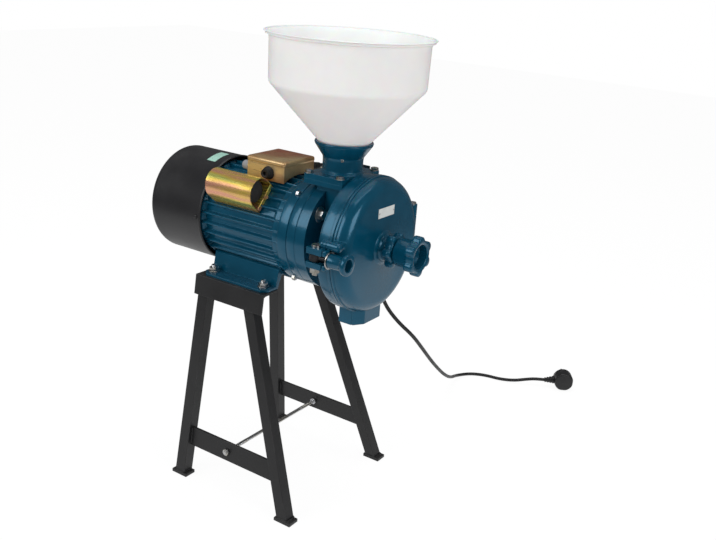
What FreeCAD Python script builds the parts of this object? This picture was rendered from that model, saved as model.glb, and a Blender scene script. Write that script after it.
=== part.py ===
import FreeCAD, Part
import math
import os
import Sketcher

# Electric disc mill for grain on an A-frame stand.
# X runs along the motor shaft, from the fan cover at the back to the hand wheel at the front.
# Y points to the far side, where the cover's hinge and the cord are. Z is up and the floor is 0.
# The origin is on the floor, under the middle of the motor's four foot bolts.

os.makedirs("parts", exist_ok=True)
doc = FreeCAD.newDocument("GrainMill")
sheet = doc.addObject("Spreadsheet::Sheet", "Sizes")

# Driving sizes in millimetres, or degrees where the note says so.
SIZES = [
    ("rail_top", 335.5, "top of the stand's rails above the floor"),
    ("axis_rise", 86.0, "motor shaft above the rails"),
    ("rail_start", -70.5, "rear end of a rail"),
    ("rail_end", 62.0, "front end of a rail"),
    ("rail_out", 95.0, "outer face of a rail at its top"),
    ("rail_wide", 35.0, "flat flange of a rail"),
    ("rail_drop", 31.0, "hanging flange of a rail"),
    ("rail_thick", 4.0, "thickness of a rail"),
    ("splay", 6.85, "outward lean of each side frame, degrees"),
    ("tube_side", 18.5, "side of a leg tube"),
    ("tube_wall", 1.5, "wall of a leg tube"),
    ("rear_top", -55.7, "rear leg at the underside of the rail"),
    ("rear_foot", -68.0, "rear leg at the floor"),
    ("front_top", 25.0, "front leg at the underside of the rail"),
    ("front_foot", 144.0, "front leg at the floor"),
    ("pad_long", 30.0, "foot pad along X"),
    ("pad_wide", 20.0, "foot pad along Y"),
    ("pad_thick", 5.0, "foot pad"),
    ("bar_mid", 68.0, "middle of a crossbar above the floor"),
    ("bar_high", 30.0, "height of a crossbar"),
    ("bar_thick", 4.0, "thickness of a crossbar"),
    ("tie_place", 19.0, "tie rod along X"),
    ("tie_dia", 6.0, "tie rod"),
    ("tie_nut", 10.0, "tie rod nut across flats"),
    ("bolt_long", 98.0, "motor bolt spacing along the shaft"),
    ("bolt_mid", -3.5, "middle of the motor bolts along X"),
    ("bolt_wide", 149.0, "motor bolt spacing across the shaft"),
    ("bolt_dia", 8.0, "motor foot bolts"),
    ("bolt_hole", 9.0, "holes for the motor foot bolts"),
    ("bolt_flats", 13.0, "across flats of the foot bolts"),
    ("bolt_head", 5.3, "head of the foot bolts"),
    ("bolt_nut", 6.5, "nuts under the rails"),
    ("washer_dia", 17.0, "washers of the foot bolts"),
    ("washer_thick", 1.6, "washers of the foot bolts"),
    ("foot_long", 125.0, "motor foot along the shaft"),
    ("foot_mid", -1.5, "middle of the motor foot along X"),
    ("foot_out", 89.5, "outer edge of the motor foot"),
    ("foot_clip", 9.0, "clipped corners of the motor foot"),
    ("foot_bend", 63.5, "bend of the motor foot"),
    ("foot_thick", 4.0, "sheet of the motor foot"),
    ("frame_start", -82.0, "rear end of the motor frame"),
    ("frame_end", 70.0, "front end of the motor frame"),
    ("frame_root", 70.0, "radius between the fins"),
    ("fin_tip", 77.0, "radius over the fins"),
    ("fin_thick", 2.6, "fin"),
    ("fin_count", 30, "number of fins"),
    ("frame_bore", 62.0, "radius of the stator bore in the frame"),
    ("stator_long", 90.0, "stator core"),
    ("stator_bore", 38.0, "radius of the stator's hole"),
    ("winding_long", 22.0, "each end of the winding"),
    ("air_gap", 0.4, "gap round the rotor"),
    ("shaft_dia", 24.0, "motor shaft"),
    ("bearing_out", 26.0, "radius of a ball bearing"),
    ("bearing_wide", 15.0, "width of a ball bearing"),
    ("run_gap", 0.05, "clearance of a turning shaft or pin, on the radius"),
    ("shield_radius", 80.0, "front end shield"),
    ("shield_end", 103.5, "front face of the front end shield"),
    ("shield_wall", 9.0, "front wall of the end shield"),
    ("rear_shield", 12.0, "thickness of the rear end shield"),
    ("cover_radius", 83.5, "fan cover"),
    ("cover_back", -184.0, "rear face of the fan cover"),
    ("cover_rim", -75.6, "front rim of the fan cover"),
    ("cover_wall", 1.5, "sheet of the fan cover"),
    ("cover_round", 12.0, "rounded rear edge of the fan cover"),
    ("fan_radius", 66.0, "cooling fan"),
    ("fan_wide", 30.0, "cooling fan"),
    ("fan_blades", 8, "blades of the cooling fan"),
    ("box_start", -24.0, "terminal box, rear face"),
    ("box_end", 46.0, "terminal box, front face"),
    ("box_half", 36.0, "terminal box, half its width"),
    ("box_low", 67.0, "terminal box above the shaft, bottom"),
    ("box_top", 99.0, "terminal box above the shaft, under its lid"),
    ("box_wall", 1.5, "sheet of the terminal box"),
    ("box_lid", 8.0, "skirt of the lid"),
    ("cap_start", -60.0, "capacitor covers, rear end"),
    ("cap_end", 27.0, "capacitor covers, front end"),
    ("cap_lean", 50.0, "capacitor covers from the top, degrees"),
    ("cap_seat", 70.3, "flat under a capacitor cover, from the shaft"),
    ("cap_half", 22.5, "half width of a capacitor cover"),
    ("cap_wall_high", 16.0, "straight side of a capacitor cover"),
    ("cap_sheet", 1.2, "sheet of a capacitor cover"),
    ("cap_dia", 34.0, "capacitor"),
    ("cap_long", 72.0, "capacitor"),
    ("flange_end", 121.0, "front face of the mill's mounting flange"),
    ("flange_ring", 59.0, "radius of the flange bolts"),
    ("flange_bolt", 8.0, "flange bolts"),
    ("neck_radius", 44.0, "neck between flange and drum"),
    ("feed_radius", 30.0, "feed bore round the auger"),
    ("drum_start", 158.5, "rear face of the grinding drum"),
    ("drum_radius", 99.4, "grinding drum"),
    ("drum_bore", 91.0, "inside of the grinding drum"),
    ("drum_wall", 5.0, "rear wall of the drum"),
    ("part_line", 180.5, "parting face of the drum"),
    ("part_gap", 0.4, "gap between drum and cover"),
    ("lid_front", 203.0, "front face of the cover"),
    ("lid_round", 18.0, "rounded edge of the cover"),
    ("lid_wall", 5.0, "front wall of the cover"),
    ("boss_radius", 17.0, "boss of the cover"),
    ("boss_end", 215.0, "front face of the boss"),
    ("screw_dia", 16.0, "adjusting screw"),
    ("screw_pitch", 2.0, "thread of the adjusting screw"),
    ("hub_start", 230.0, "rear end of the hand wheel's hub"),
    ("hub_radius", 20.5, "hub of the hand wheel"),
    ("wheel_back", 252.0, "rear face of the hand wheel"),
    ("wheel_front", 266.0, "front face of the hand wheel"),
    ("wheel_radius", 29.5, "hand wheel over its lobes"),
    ("wheel_lobes", 6, "lobes of the hand wheel"),
    ("lobe_radius", 7.5, "one lobe"),
    ("lock_back", 215.3, "rear face of the lock wheel"),
    ("lock_front", 228.0, "front face of the lock wheel"),
    ("lock_radius", 26.0, "lock wheel over its lobes"),
    ("disc_radius", 76.0, "grinding discs"),
    ("disc_hole", 30.0, "feed hole of the fixed disc"),
    ("turn_back", 166.0, "rear face of the turning disc"),
    ("turn_front", 173.0, "front face of the turning disc"),
    ("grind_gap", 1.0, "gap between the discs at rest"),
    ("fixed_thick", 6.0, "fixed disc"),
    ("plate_thick", 5.0, "pressure plate"),
    ("auger_radius", 28.5, "auger over its flight"),
    ("auger_core", 16.0, "core of the auger"),
    ("auger_start", 112.0, "rear end of the auger"),
    ("throat_x", 123.5, "middle of the feed throat"),
    ("pad_top", 88.5, "feed pad of the housing above the shaft"),
    ("pad_deep", 7.0, "feed pad"),
    ("throat_long", 66.0, "throat flange along X"),
    ("throat_wide", 94.0, "throat flange along Y"),
    ("throat_flange", 8.0, "throat flange"),
    ("throat_tube", 29.3, "radius of the throat tube"),
    ("throat_bore", 25.0, "bore of the throat"),
    ("throat_taper", 118.5, "start of the flare above the shaft"),
    ("throat_top", 141.0, "rim of the throat above the shaft"),
    ("throat_rim", 42.0, "radius of the throat's rim"),
    ("throat_bolts_x", 27.0, "throat bolts from the middle along X"),
    ("throat_bolts_y", 38.0, "throat bolts from the middle along Y"),
    ("shutter_thick", 2.0, "feed shutter"),
    ("shutter_wide", 46.0, "feed shutter"),
    ("hopper_rim", 290.5, "rim of the hopper above the shaft"),
    ("hopper_knee", 220.0, "knee of the hopper above the shaft"),
    ("hopper_top", 113.0, "radius at the rim"),
    ("hopper_lip", 120.6, "radius over the rolled lip"),
    ("hopper_mid", 111.5, "radius at the knee"),
    ("hopper_low", 112.0, "lower end of the hopper's neck above the shaft"),
    ("hopper_wall", 2.5, "wall of the hopper"),
    ("spout_half", 36.0, "half width of the spout"),
    ("spout_back", 158.5, "rear face of the spout"),
    ("spout_front", 193.5, "front face of the spout"),
    ("spout_low", 116.5, "lower end of the spout below the shaft"),
    ("spout_wall", 4.0, "wall of the spout"),
    ("hinge_x", 182.0, "hinge pin of the cover along X"),
    ("hinge_y", 109.0, "hinge pin of the cover along Y"),
    ("hinge_low", -11.0, "lower end of the hinge from the shaft"),
    ("hinge_high", 40.0, "upper end of the hinge from the shaft"),
    ("hinge_pin", 8.0, "hinge pin"),
    ("knuckle", 8.0, "radius of a hinge knuckle"),
    ("clamp_x", 164.0, "pin of the swing bolt along X"),
    ("clamp_y", 110.5, "pin of the swing bolt along Y"),
    ("clamp_z", 2.5, "swing bolt above the shaft"),
    ("clamp_pin", 8.0, "pin of the swing bolt"),
    ("clamp_bolt", 9.0, "swing bolt"),
    ("ear_thick", 6.0, "ear of the cover"),
    ("ear_low", 14.0, "ears below the swing bolt"),
    ("ear_high", 14.5, "ears above the swing bolt"),
    ("ear_out", 121.0, "outer end of the ears"),
    ("nut_front", 219.0, "front face of the hand nut"),
    ("nut_radius", 15.0, "hand nut over its flange"),
    ("nut_hub", 10.5, "hub of the hand nut"),
    ("label_long", 41.0, "blank label plate"),
    ("label_high", 14.0, "blank label plate"),
    ("label_thick", 0.6, "blank label plate"),
    ("label_up", 53.0, "blank label plate above the shaft"),
    ("cord_dia", 6.4, "power cord"),
    ("gland_x", 36.0, "cord gland along X"),
    ("gland_up", 80.5, "cord gland above the shaft"),
    ("gland_out", 64.0, "end of the cord gland"),
    ("plug_radius", 14.0, "plug"),
    ("plug_long", 34.0, "plug"),
]


class Size:
    """A number together with the spreadsheet expression that gives it."""

    def __init__(self, value, text):
        self.value = float(value)
        self.text = text

    def _join(self, sign, other, value):
        return Size(value, "(" + self.text + " " + sign + " " + size(other).text + ")")

    def __add__(self, other):
        return self._join("+", other, self.value + size(other).value)

    def __sub__(self, other):
        return self._join("-", other, self.value - size(other).value)

    def __mul__(self, other):
        return self._join("*", other, self.value * size(other).value)

    def __truediv__(self, other):
        return self._join("/", other, self.value / size(other).value)

    def __radd__(self, other):
        return size(other) + self

    def __rsub__(self, other):
        return size(other) - self

    def __rmul__(self, other):
        return size(other) * self

    def __neg__(self):
        return size(0) - self


def size(number):
    if isinstance(number, Size):
        return number
    return Size(number, "(" + repr(float(number)) + ")" if number < 0 else repr(float(number)))


def sin_of(angle):
    return Size(math.sin(math.radians(size(angle).value)), "sin(" + size(angle).text + ")")


def cos_of(angle):
    return Size(math.cos(math.radians(size(angle).value)), "cos(" + size(angle).text + ")")


def tan_of(angle):
    return Size(math.tan(math.radians(size(angle).value)), "tan(" + size(angle).text + ")")


class Names:
    pass


d = Names()
for row, (alias, value, note) in enumerate(SIZES, start=1):
    sheet.set("A%d" % row, note)
    sheet.set("B%d" % row, str(value))
    sheet.setAlias("B%d" % row, alias)
    setattr(d, alias, Size(value, "Sizes." + alias))
doc.recompute()

axis = d.rail_top + d.axis_rise
nodes = []


def bind(obj, prop, number):
    obj.setExpression(prop, size(number).text)


def put(obj, x, y, z):
    bind(obj, "Placement.Base.x", x)
    bind(obj, "Placement.Base.y", y)
    bind(obj, "Placement.Base.z", z)
    return obj


def aim(obj, along):
    turn = {"z": (0, 0, 1, 0), "x": (0, 1, 0, 90), "y": (1, 0, 0, -90)}[along]
    obj.Placement.Rotation = FreeCAD.Rotation(FreeCAD.Vector(*turn[:3]), turn[3])
    return obj


def block(x0, x1, y0, y1, z0, z1):
    obj = doc.addObject("Part::Box", "Block")
    bind(obj, "Length", size(x1) - x0)
    bind(obj, "Width", size(y1) - y0)
    bind(obj, "Height", size(z1) - z0)
    return put(obj, x0, y0, z0)


def spot(along, start, p, q):
    return {"x": (start, p, q), "y": (p, start, q), "z": (p, q, start)}[along]


def rod(along, radius, start, end, p, q):
    obj = aim(doc.addObject("Part::Cylinder", "Rod"), along)
    bind(obj, "Radius", radius)
    bind(obj, "Height", size(end) - start)
    return put(obj, *spot(along, start, p, q))


def cone(along, r0, r1, start, end, p, q):
    obj = aim(doc.addObject("Part::Cone", "Cone"), along)
    bind(obj, "Radius1", r0)
    bind(obj, "Radius2", r1)
    bind(obj, "Height", size(end) - start)
    return put(obj, *spot(along, start, p, q))


def hexagon(along, flats, start, end, p, q):
    obj = aim(doc.addObject("Part::Prism", "Hexagon"), along)
    obj.Polygon = 6
    bind(obj, "Circumradius", size(flats) / (2 * cos_of(30)))
    bind(obj, "Height", size(end) - start)
    return put(obj, *spot(along, start, p, q))


def fuse(*parts):
    obj = doc.addObject("Part::MultiFuse", "Fuse")
    obj.Shapes = list(parts)
    return obj


def cut(base, *tools):
    obj = doc.addObject("Part::Cut", "Cut")
    obj.Base = base
    obj.Tool = tools[0] if len(tools) == 1 else fuse(*tools)
    return obj


def profile(body, role, points):
    plane = [f for f in body.Origin.OriginFeatures if f.Role == role][0]
    sketch = body.newObject("Sketcher::SketchObject", "Profile")
    sketch.AttachmentSupport = (plane, [""])
    sketch.MapMode = "FlatFace"
    points = [(size(u), size(v)) for u, v in points]
    count = len(points)
    for i in range(count):
        a = points[i]
        b = points[(i + 1) % count]
        start = FreeCAD.Vector(a[0].value, a[1].value, 0)
        end = FreeCAD.Vector(b[0].value, b[1].value, 0)
        sketch.addGeometry(Part.LineSegment(start, end), False)
    for i in range(count):
        sketch.addConstraint(Sketcher.Constraint("Coincident", i, 2, (i + 1) % count, 1))
    for i, (u, v) in enumerate(points):
        for kind, number in (("DistanceX", u), ("DistanceY", v)):
            k = sketch.addConstraint(Sketcher.Constraint(kind, -1, 1, i, 1, number.value))
            name = "%s%d" % (kind[-1].lower(), i)
            sketch.renameConstraint(k, name)
            bind(sketch, "Constraints." + name, number)
    return sketch


def turned(points, along="x", x=0, y=0, z=0):
    """Revolved body: points are (place along the axis, radius)."""
    body = doc.addObject("PartDesign::Body", "Turned")
    if along == "x":
        sketch = profile(body, "XZ_Plane", points)
    else:
        sketch = profile(body, "XZ_Plane", [(r, a) for a, r in points])
    feature = body.newObject("PartDesign::Revolution", "Revolve")
    feature.Profile = sketch
    feature.ReferenceAxis = (sketch, ["H_Axis" if along == "x" else "V_Axis"])
    feature.Angle = 360
    body.Tip = feature
    return put(body, x, y, z)


def padded(points, role, length, x=0, y=0, z=0):
    """Padded body: XY pads up, YZ pads forward, XZ pads to the near side."""
    body = doc.addObject("PartDesign::Body", "Padded")
    sketch = profile(body, role, points)
    feature = body.newObject("PartDesign::Pad", "Pad")
    feature.Profile = sketch
    bind(feature, "Length", length)
    body.Tip = feature
    return put(body, x, y, z)


def shoulder(x, r, radius, turn):
    """Points of a rounded corner whose square corner is at (x, r); turn +1 faces +X, -1 faces -X."""
    x = size(x)
    radius = size(radius)
    angles = range(0, 91, 15) if turn < 0 else range(90, -1, -15)
    return [(x - (1 - cos_of(t)) * radius * turn, r - (1 - sin_of(t)) * radius) for t in angles]


def node(obj, name):
    obj.Label = name
    nodes.append(obj)
    return obj


# Rails: an angle under each side of the motor foot, whose hanging flange leans with the frame.
lean = tan_of(d.splay)
bolt_x = d.bolt_long / 2
bolt_y = d.bolt_wide / 2
for side, sign in (("near", -1), ("far", 1)):
    top = d.rail_out * sign
    low = (d.rail_out + d.rail_drop * lean) * sign
    inner = (d.rail_out - d.rail_thick) * sign
    inner_low = (d.rail_out - d.rail_thick + d.rail_drop * lean) * sign
    under = -d.rail_thick
    edge = (d.rail_out - d.rail_wide) * sign
    corner = (d.rail_out - d.rail_thick + d.rail_thick * lean) * sign
    angle = padded([(edge, 0), (top, 0), (low, -d.rail_drop), (inner_low, -d.rail_drop),
                    (corner, under), (edge, under)],
                   "YZ_Plane", d.rail_end - d.rail_start, x=d.rail_start, z=d.rail_top)
    holes = [rod("z", d.bolt_hole / 2, d.rail_top - d.rail_thick - 1, d.rail_top + 1,
                 d.bolt_mid + bolt_x * s, bolt_y * sign) for s in (-1, 1)]
    node(cut(angle, *holes), "rail_" + side)


# Legs: square tubes, cut level at both ends, each with its foot pad welded on.
def tube_centre(z):
    """Distance of a leg's middle from the centre plane at height z."""
    return d.rail_out - d.rail_thick - d.tube_side / 2 + (d.rail_top - z) * lean


leg_ref = d.rail_top - d.rail_thick
leg_top = leg_ref - d.bolt_nut - 5


def leg_x(foot, head, z):
    return foot + (head - foot) * z / leg_ref


def leg(side, sign, end, foot, head):
    half = d.tube_side / 2
    hollow = half - d.tube_wall
    low = d.pad_thick
    high = leg_top
    shapes = []
    for h in (half, hollow):
        body = doc.addObject("PartDesign::Body", "Leg")
        loops = []
        for z in (low, high):
            x = leg_x(foot, head, z)
            y = tube_centre(z) * sign
            points = [(x - h, y - h), (x + h, y - h), (x + h, y + h), (x - h, y + h)]
            sketch = profile(body, "XY_Plane", points)
            bind(sketch, "AttachmentOffset.Base.z", z)
            loops.append(sketch)
        loft = body.newObject("PartDesign::AdditiveLoft", "Loft")
        loft.Profile = loops[0]
        loft.Sections = [loops[1]]
        loft.Ruled = True
        body.Tip = loft
        shapes.append(body)
    y = tube_centre(0) * sign
    pad = block(foot - d.pad_long / 2, foot + d.pad_long / 2, y - d.pad_wide / 2,
                y + d.pad_wide / 2, 0, d.pad_thick)
    node(fuse(cut(shapes[0], shapes[1]), pad), "leg_%s_%s" % (side, end))


for side, sign in (("near", -1), ("far", 1)):
    leg(side, sign, "rear", d.rear_foot, d.rear_top)
    leg(side, sign, "front", d.front_foot, d.front_top)


# Crossbars: flat bars butted between the two legs of a side, on the leg tubes' middle.
bar_low = d.bar_mid - d.bar_high / 2
bar_high = d.bar_mid + d.bar_high / 2
half = d.tube_side / 2
for side, sign in (("near", -1), ("far", 1)):
    shapes = doc.addObject("PartDesign::Body", "Bar")
    loops = []
    for z in (bar_low, bar_high):
        y = tube_centre(z) * sign
        start = leg_x(d.rear_foot, d.rear_top, z) + half
        end = leg_x(d.front_foot, d.front_top, z) - half
        points = [(start, y - d.bar_thick / 2), (end, y - d.bar_thick / 2),
                  (end, y + d.bar_thick / 2), (start, y + d.bar_thick / 2)]
        sketch = profile(shapes, "XY_Plane", points)
        bind(sketch, "AttachmentOffset.Base.z", z)
        loops.append(sketch)
    loft = shapes.newObject("PartDesign::AdditiveLoft", "Loft")
    loft.Profile = loops[0]
    loft.Sections = [loops[1]]
    loft.Ruled = True
    shapes.Tip = loft
    y = tube_centre(d.bar_mid) * sign
    hole = rod("y", d.tie_dia / 2 + 0.3, y - 10, y + 10, d.tie_place, d.bar_mid)
    node(cut(shapes, hole), "crossbar_" + side)

# Tie rod with a nut on both faces of each crossbar.
tie_y = tube_centre(d.bar_mid)
face = d.bar_thick / 2 + d.tie_nut / 2 * lean + 0.15
nut_deep = d.tie_nut * 0.4
tie = [rod("y", d.tie_dia / 2, -tie_y - face - nut_deep - 1.5, tie_y + face + nut_deep + 1.5,
           d.tie_place, d.bar_mid)]
for sign in (-1, 1):
    for inner in (-1, 1):
        middle = tie_y * sign + (face + nut_deep / 2) * inner
        tie.append(hexagon("y", d.tie_nut, middle - nut_deep / 2, middle + nut_deep / 2,
                           d.tie_place, d.bar_mid))
node(fuse(*tie), "tie_rod")

# Motor foot: one bent sheet, flat on both rails and curved up under the frame.
deck = d.rail_top
skin = d.foot_thick
cradle = d.fin_tip
under = d.fin_tip + skin
bend = d.foot_bend - skin
rise = d.axis_rise
arc = [(sin_of(t) * under, rise - cos_of(t) * under) for t in (-38, -20, 0, 20, 38)]
sheet_points = ([(-d.foot_out, 0), (-bend, 0)] + arc
                + [(bend, 0), (d.foot_out, 0), (d.foot_out, skin), (d.foot_bend, skin),
                   (sin_of(46) * under, rise - cos_of(46) * under), (40, rise * 0.45),
                   (-40, rise * 0.45), (-sin_of(46) * under, rise - cos_of(46) * under),
                   (-d.foot_bend, skin), (-d.foot_out, skin)])
foot = padded(sheet_points, "YZ_Plane", d.foot_long, x=d.foot_mid - d.foot_long / 2, z=deck)
holes = [rod("z", d.bolt_hole / 2, deck - 1, deck + skin + 1, d.bolt_mid + bolt_x * sx, bolt_y * sy)
         for sx in (-1, 1) for sy in (-1, 1)]
bed = rod("x", cradle, d.foot_mid - d.foot_long / 2 - 1, d.foot_mid + d.foot_long / 2 + 1, 0, axis)
corners = []
for sx in (-1, 1):
    for sy in (-1, 1):
        x = d.foot_mid + d.foot_long / 2 * sx
        y = d.foot_out * sy
        corners.append(padded([(x - (d.foot_clip + 1) * sx, y + sy), (x + sx, y + sy),
                               (x + sx, y - (d.foot_clip + 1) * sy)], "XY_Plane", skin + 2,
                              z=deck - 1))
node(cut(foot, bed, *(holes + corners)), "motor_foot")

# Foot bolts: hexagon head and washer above, nut below the rail.
for side, sy in (("near", -1), ("far", 1)):
    for end, sx in (("rear", -1), ("front", 1)):
        x = d.bolt_mid + bolt_x * sx
        y = bolt_y * sy
        seat = deck + skin
        low = deck - d.rail_thick
        node(fuse(rod("z", d.washer_dia / 2, seat, seat + d.washer_thick, x, y),
                  hexagon("z", d.bolt_flats, seat + d.washer_thick,
                          seat + d.washer_thick + d.bolt_head, x, y),
                  rod("z", d.bolt_dia / 2, low - d.bolt_nut - 3,
                      seat + d.washer_thick + d.bolt_head + 4, x, y),
                  hexagon("z", d.bolt_flats, low - d.bolt_nut, low, x, y)),
             "foot_bolt_%s_%s" % (side, end))

# Motor frame: a bored ring with long fins, flats under the box and the capacitor covers.
body = doc.addObject("PartDesign::Body", "Frame")
ring = profile(body, "XZ_Plane", [(d.frame_start, d.frame_bore), (d.frame_end, d.frame_bore),
                                  (d.frame_end, d.frame_root), (d.frame_start, d.frame_root)])
core = body.newObject("PartDesign::Revolution", "Ring")
core.Profile = ring
core.ReferenceAxis = (ring, ["H_Axis"])
core.Angle = 360
fin = profile(body, "YZ_Plane", [(-d.fin_thick / 2, d.frame_root - 1.5),
                                 (d.fin_thick / 2, d.frame_root - 1.5),
                                 (d.fin_thick / 2, d.fin_tip), (-d.fin_thick / 2, d.fin_tip)])
bind(fin, "AttachmentOffset.Base.z", d.frame_start)
one = body.newObject("PartDesign::Pad", "Fin")
one.Profile = fin
bind(one, "Length", d.frame_end - d.frame_start)
doc.recompute()
pattern = body.newObject("PartDesign::PolarPattern", "Fins")
pattern.Originals = [one]
x_axis = [f for f in body.Origin.OriginFeatures if f.Role == "X_Axis"][0]
pattern.Axis = (x_axis, [""])
pattern.Angle = 360
bind(pattern, "Occurrences", d.fin_count)
body.Tip = pattern
put(body, 0, 0, axis)


def beside(obj, sign):
    """Tilt a body built above a line through 0 to its place beside the terminal box."""
    obj.Placement.Rotation = FreeCAD.Rotation(FreeCAD.Vector(sign, 0, 0), d.cap_lean.value)
    bind(obj, "Placement.Rotation.Angle", d.cap_lean)
    return put(obj, 0, 0, axis)


def arch(half, low, high, start, end, sign):
    """A solid with a flat foot and a round top, lying along X beside the terminal box."""
    bow = [(cos_of(t) * half, high + sin_of(t) * half) for t in range(0, 181, 12)]
    body = padded([(-size(half), low), (half, low)] + bow, "YZ_Plane", size(end) - start)
    beside(body, sign)
    bind(body, "Placement.Base.x", start)
    return body


flats = []
for sign in (1, -1):
    flat = padded([(-(d.cap_half + 4), d.cap_seat), (d.cap_half + 4, d.cap_seat),
                   (d.cap_half + 4, d.cap_seat + 20), (-(d.cap_half + 4), d.cap_seat + 20)],
                  "YZ_Plane", d.cap_end - d.cap_start + 6)
    beside(flat, sign)
    bind(flat, "Placement.Base.x", d.cap_start - 3)
    flats.append(flat)
node(cut(body, *flats), "motor_frame")


# Capacitor covers: a folded sheet with an open round top, and the capacitor lying in it.
for side, sign in (("near", 1), ("far", -1)):
    knee = d.cap_seat + d.cap_wall_high
    outer = arch(d.cap_half, d.cap_seat, knee, d.cap_start, d.cap_end, sign)
    inner = arch(d.cap_half - d.cap_sheet, d.cap_seat + d.cap_sheet, knee, d.cap_start - 1,
                 d.cap_end + 1, sign)
    node(cut(outer, inner), "capacitor_cover_" + side)
    lift = d.cap_seat + d.cap_sheet + d.cap_dia / 2 + 0.1
    middle = (d.cap_start + d.cap_end) / 2
    can = turned([(middle - d.cap_long / 2, 0), (middle + d.cap_long / 2, 0),
                  (middle + d.cap_long / 2, d.cap_dia / 2 - 1.5),
                  (middle + d.cap_long / 2 - 1.5, d.cap_dia / 2),
                  (middle - d.cap_long / 2, d.cap_dia / 2)])
    bind(can, "Placement.Base.y", -sin_of(d.cap_lean) * lift * sign)
    bind(can, "Placement.Base.z", axis + cos_of(d.cap_lean) * lift)
    node(can, "capacitor_" + side)

# Terminal box: a folded sheet box saddled on the frame's fins, with a shallow lid over it.
box_low = axis + d.box_low
box_top = axis + d.box_top
wall = d.box_wall
shell = cut(block(d.box_start, d.box_end, -d.box_half, d.box_half, box_low, box_top),
            block(d.box_start + wall, d.box_end - wall, -(d.box_half - wall), d.box_half - wall,
                  box_low + wall, box_top + 1),
            rod("x", d.fin_tip + 0.1, d.box_start - 1, d.box_end + 1, 0, axis),
            rod("y", 6, d.box_half - wall - 2, d.box_half + 2, d.gland_x, axis + d.gland_up),
            rod("y", 5, -(d.box_half + 2), -(d.box_half - wall - 2), 17, axis + 80))
node(shell, "terminal_box")
gap = d.part_gap / 2
node(cut(block(d.box_start - wall - gap, d.box_end + wall + gap, -(d.box_half + wall + gap),
               d.box_half + wall + gap, box_top - d.box_lid, box_top + wall),
         block(d.box_start - gap, d.box_end + gap, -(d.box_half + gap), d.box_half + gap,
               box_top - d.box_lid - 1, box_top)), "terminal_box_lid")

# Rubber boot on the near side, cable gland on the rear side, cord gland on the far side.
node(cut(fuse(rod("y", 10, -(d.box_half + 2), -d.box_half, 17, axis + 80),
              cone("y", 6.5, 9, -(d.box_half + 10), -(d.box_half + 2), 17, axis + 80)),
         rod("y", 3, -(d.box_half + 11), -(d.box_half - 1), 17, axis + 80)), "cable_boot")
node(cut(fuse(rod("x", 8, d.box_start - 6, d.box_start, -26, axis + 81.5),
              rod("x", 7, d.box_start - 14, d.box_start - 6, -26, axis + 81.5)),
         rod("x", 4.5, d.box_start - 15, d.box_start - 3, -26, axis + 81.5)), "cable_gland")
node(cut(fuse(hexagon("y", 17, d.box_half, d.box_half + 7, d.gland_x, axis + d.gland_up),
              cone("y", 8, 6.8, d.box_half + 7, d.gland_out, d.gland_x, axis + d.gland_up)),
         rod("y", d.cord_dia / 2 + 0.3, d.box_half - 1, d.gland_out - 1.0, d.gland_x,
             axis + d.gland_up)), "cord_gland")

# Stator core and winding, pressed into the frame.
stator_half = d.stator_long / 2
slots = [(sin_of(t) * 50, axis + cos_of(t) * 50) for t in (0, 60, 120, 180, 240, 300)]
node(cut(turned([(-stator_half, d.stator_bore), (stator_half, d.stator_bore),
                 (stator_half, d.frame_bore), (-stator_half, d.frame_bore)], z=axis),
         *[rod("x", 4, -stator_half - 1, stator_half + 1, y, z) for y, z in slots]), "stator_core")
ends = []
for sign in (-1, 1):
    ends.append(turned([(stator_half * sign, d.stator_bore + 4),
                        ((stator_half + d.winding_long) * sign, d.stator_bore + 7),
                        ((stator_half + d.winding_long) * sign, d.frame_bore - 7),
                        (stator_half * sign, d.frame_bore - 4)], z=axis))
node(fuse(*ends, *[rod("x", 4, -stator_half - 1, stator_half + 1, y, z) for y, z in slots]),
     "stator_winding")

# Front end shield: a deep ring closed by a wall that carries the front bearing.
bearing = d.bearing_out
front_seat = d.shield_end - d.shield_wall - d.bearing_wide
node(turned([(d.frame_end, d.frame_bore), (d.frame_end + 12, d.shield_radius - 8),
             (d.shield_end - d.shield_wall - 4, d.shield_radius - 10),
             (d.shield_end - d.shield_wall - 4, bearing + 8), (front_seat, bearing + 6),
             (front_seat, bearing), (d.shield_end - d.shield_wall, bearing),
             (d.shield_end - d.shield_wall, d.shaft_dia / 2 + 3),
             (d.shield_end, d.shaft_dia / 2 + 3), (d.shield_end, d.shield_radius),
             (d.frame_end, d.shield_radius)], z=axis), "end_shield_front")

# Rear end shield, a flat plate with a bearing cup.
rear = d.frame_start
node(turned([(rear - d.rear_shield, d.shaft_dia / 2 + 1.5), (rear - d.rear_shield, d.fin_tip - 2),
             (rear, d.fin_tip - 2), (rear, bearing + 6), (rear + 8, bearing + 6),
             (rear + 8, bearing), (rear + 8 - d.bearing_wide, bearing),
             (rear + 8 - d.bearing_wide, d.shaft_dia / 2 + 1.5)], z=axis), "end_shield_rear")

# Ball bearings and the rotor.
shaft = d.shaft_dia / 2
fit = shaft + d.run_gap
node(turned([(rear + 8 - d.bearing_wide, fit), (rear + 8, fit), (rear + 8, bearing),
             (rear + 8 - d.bearing_wide, bearing)], z=axis), "bearing_rear")
node(turned([(front_seat, fit), (front_seat + d.bearing_wide, fit),
             (front_seat + d.bearing_wide, bearing), (front_seat, bearing)], z=axis),
     "bearing_front")
shaft_front = d.turn_front + 4
node(turned([(d.cover_back + 28, 0), (shaft_front, 0), (shaft_front, shaft - 4),
             (d.turn_back - 3, shaft - 4), (d.turn_back - 3, shaft), (d.cover_back + 28, shaft)],
            z=axis), "motor_shaft")
node(turned([(-stator_half, shaft), (stator_half, shaft), (stator_half, d.stator_bore - d.air_gap),
             (-stator_half, d.stator_bore - d.air_gap)], z=axis), "rotor_core")

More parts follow.
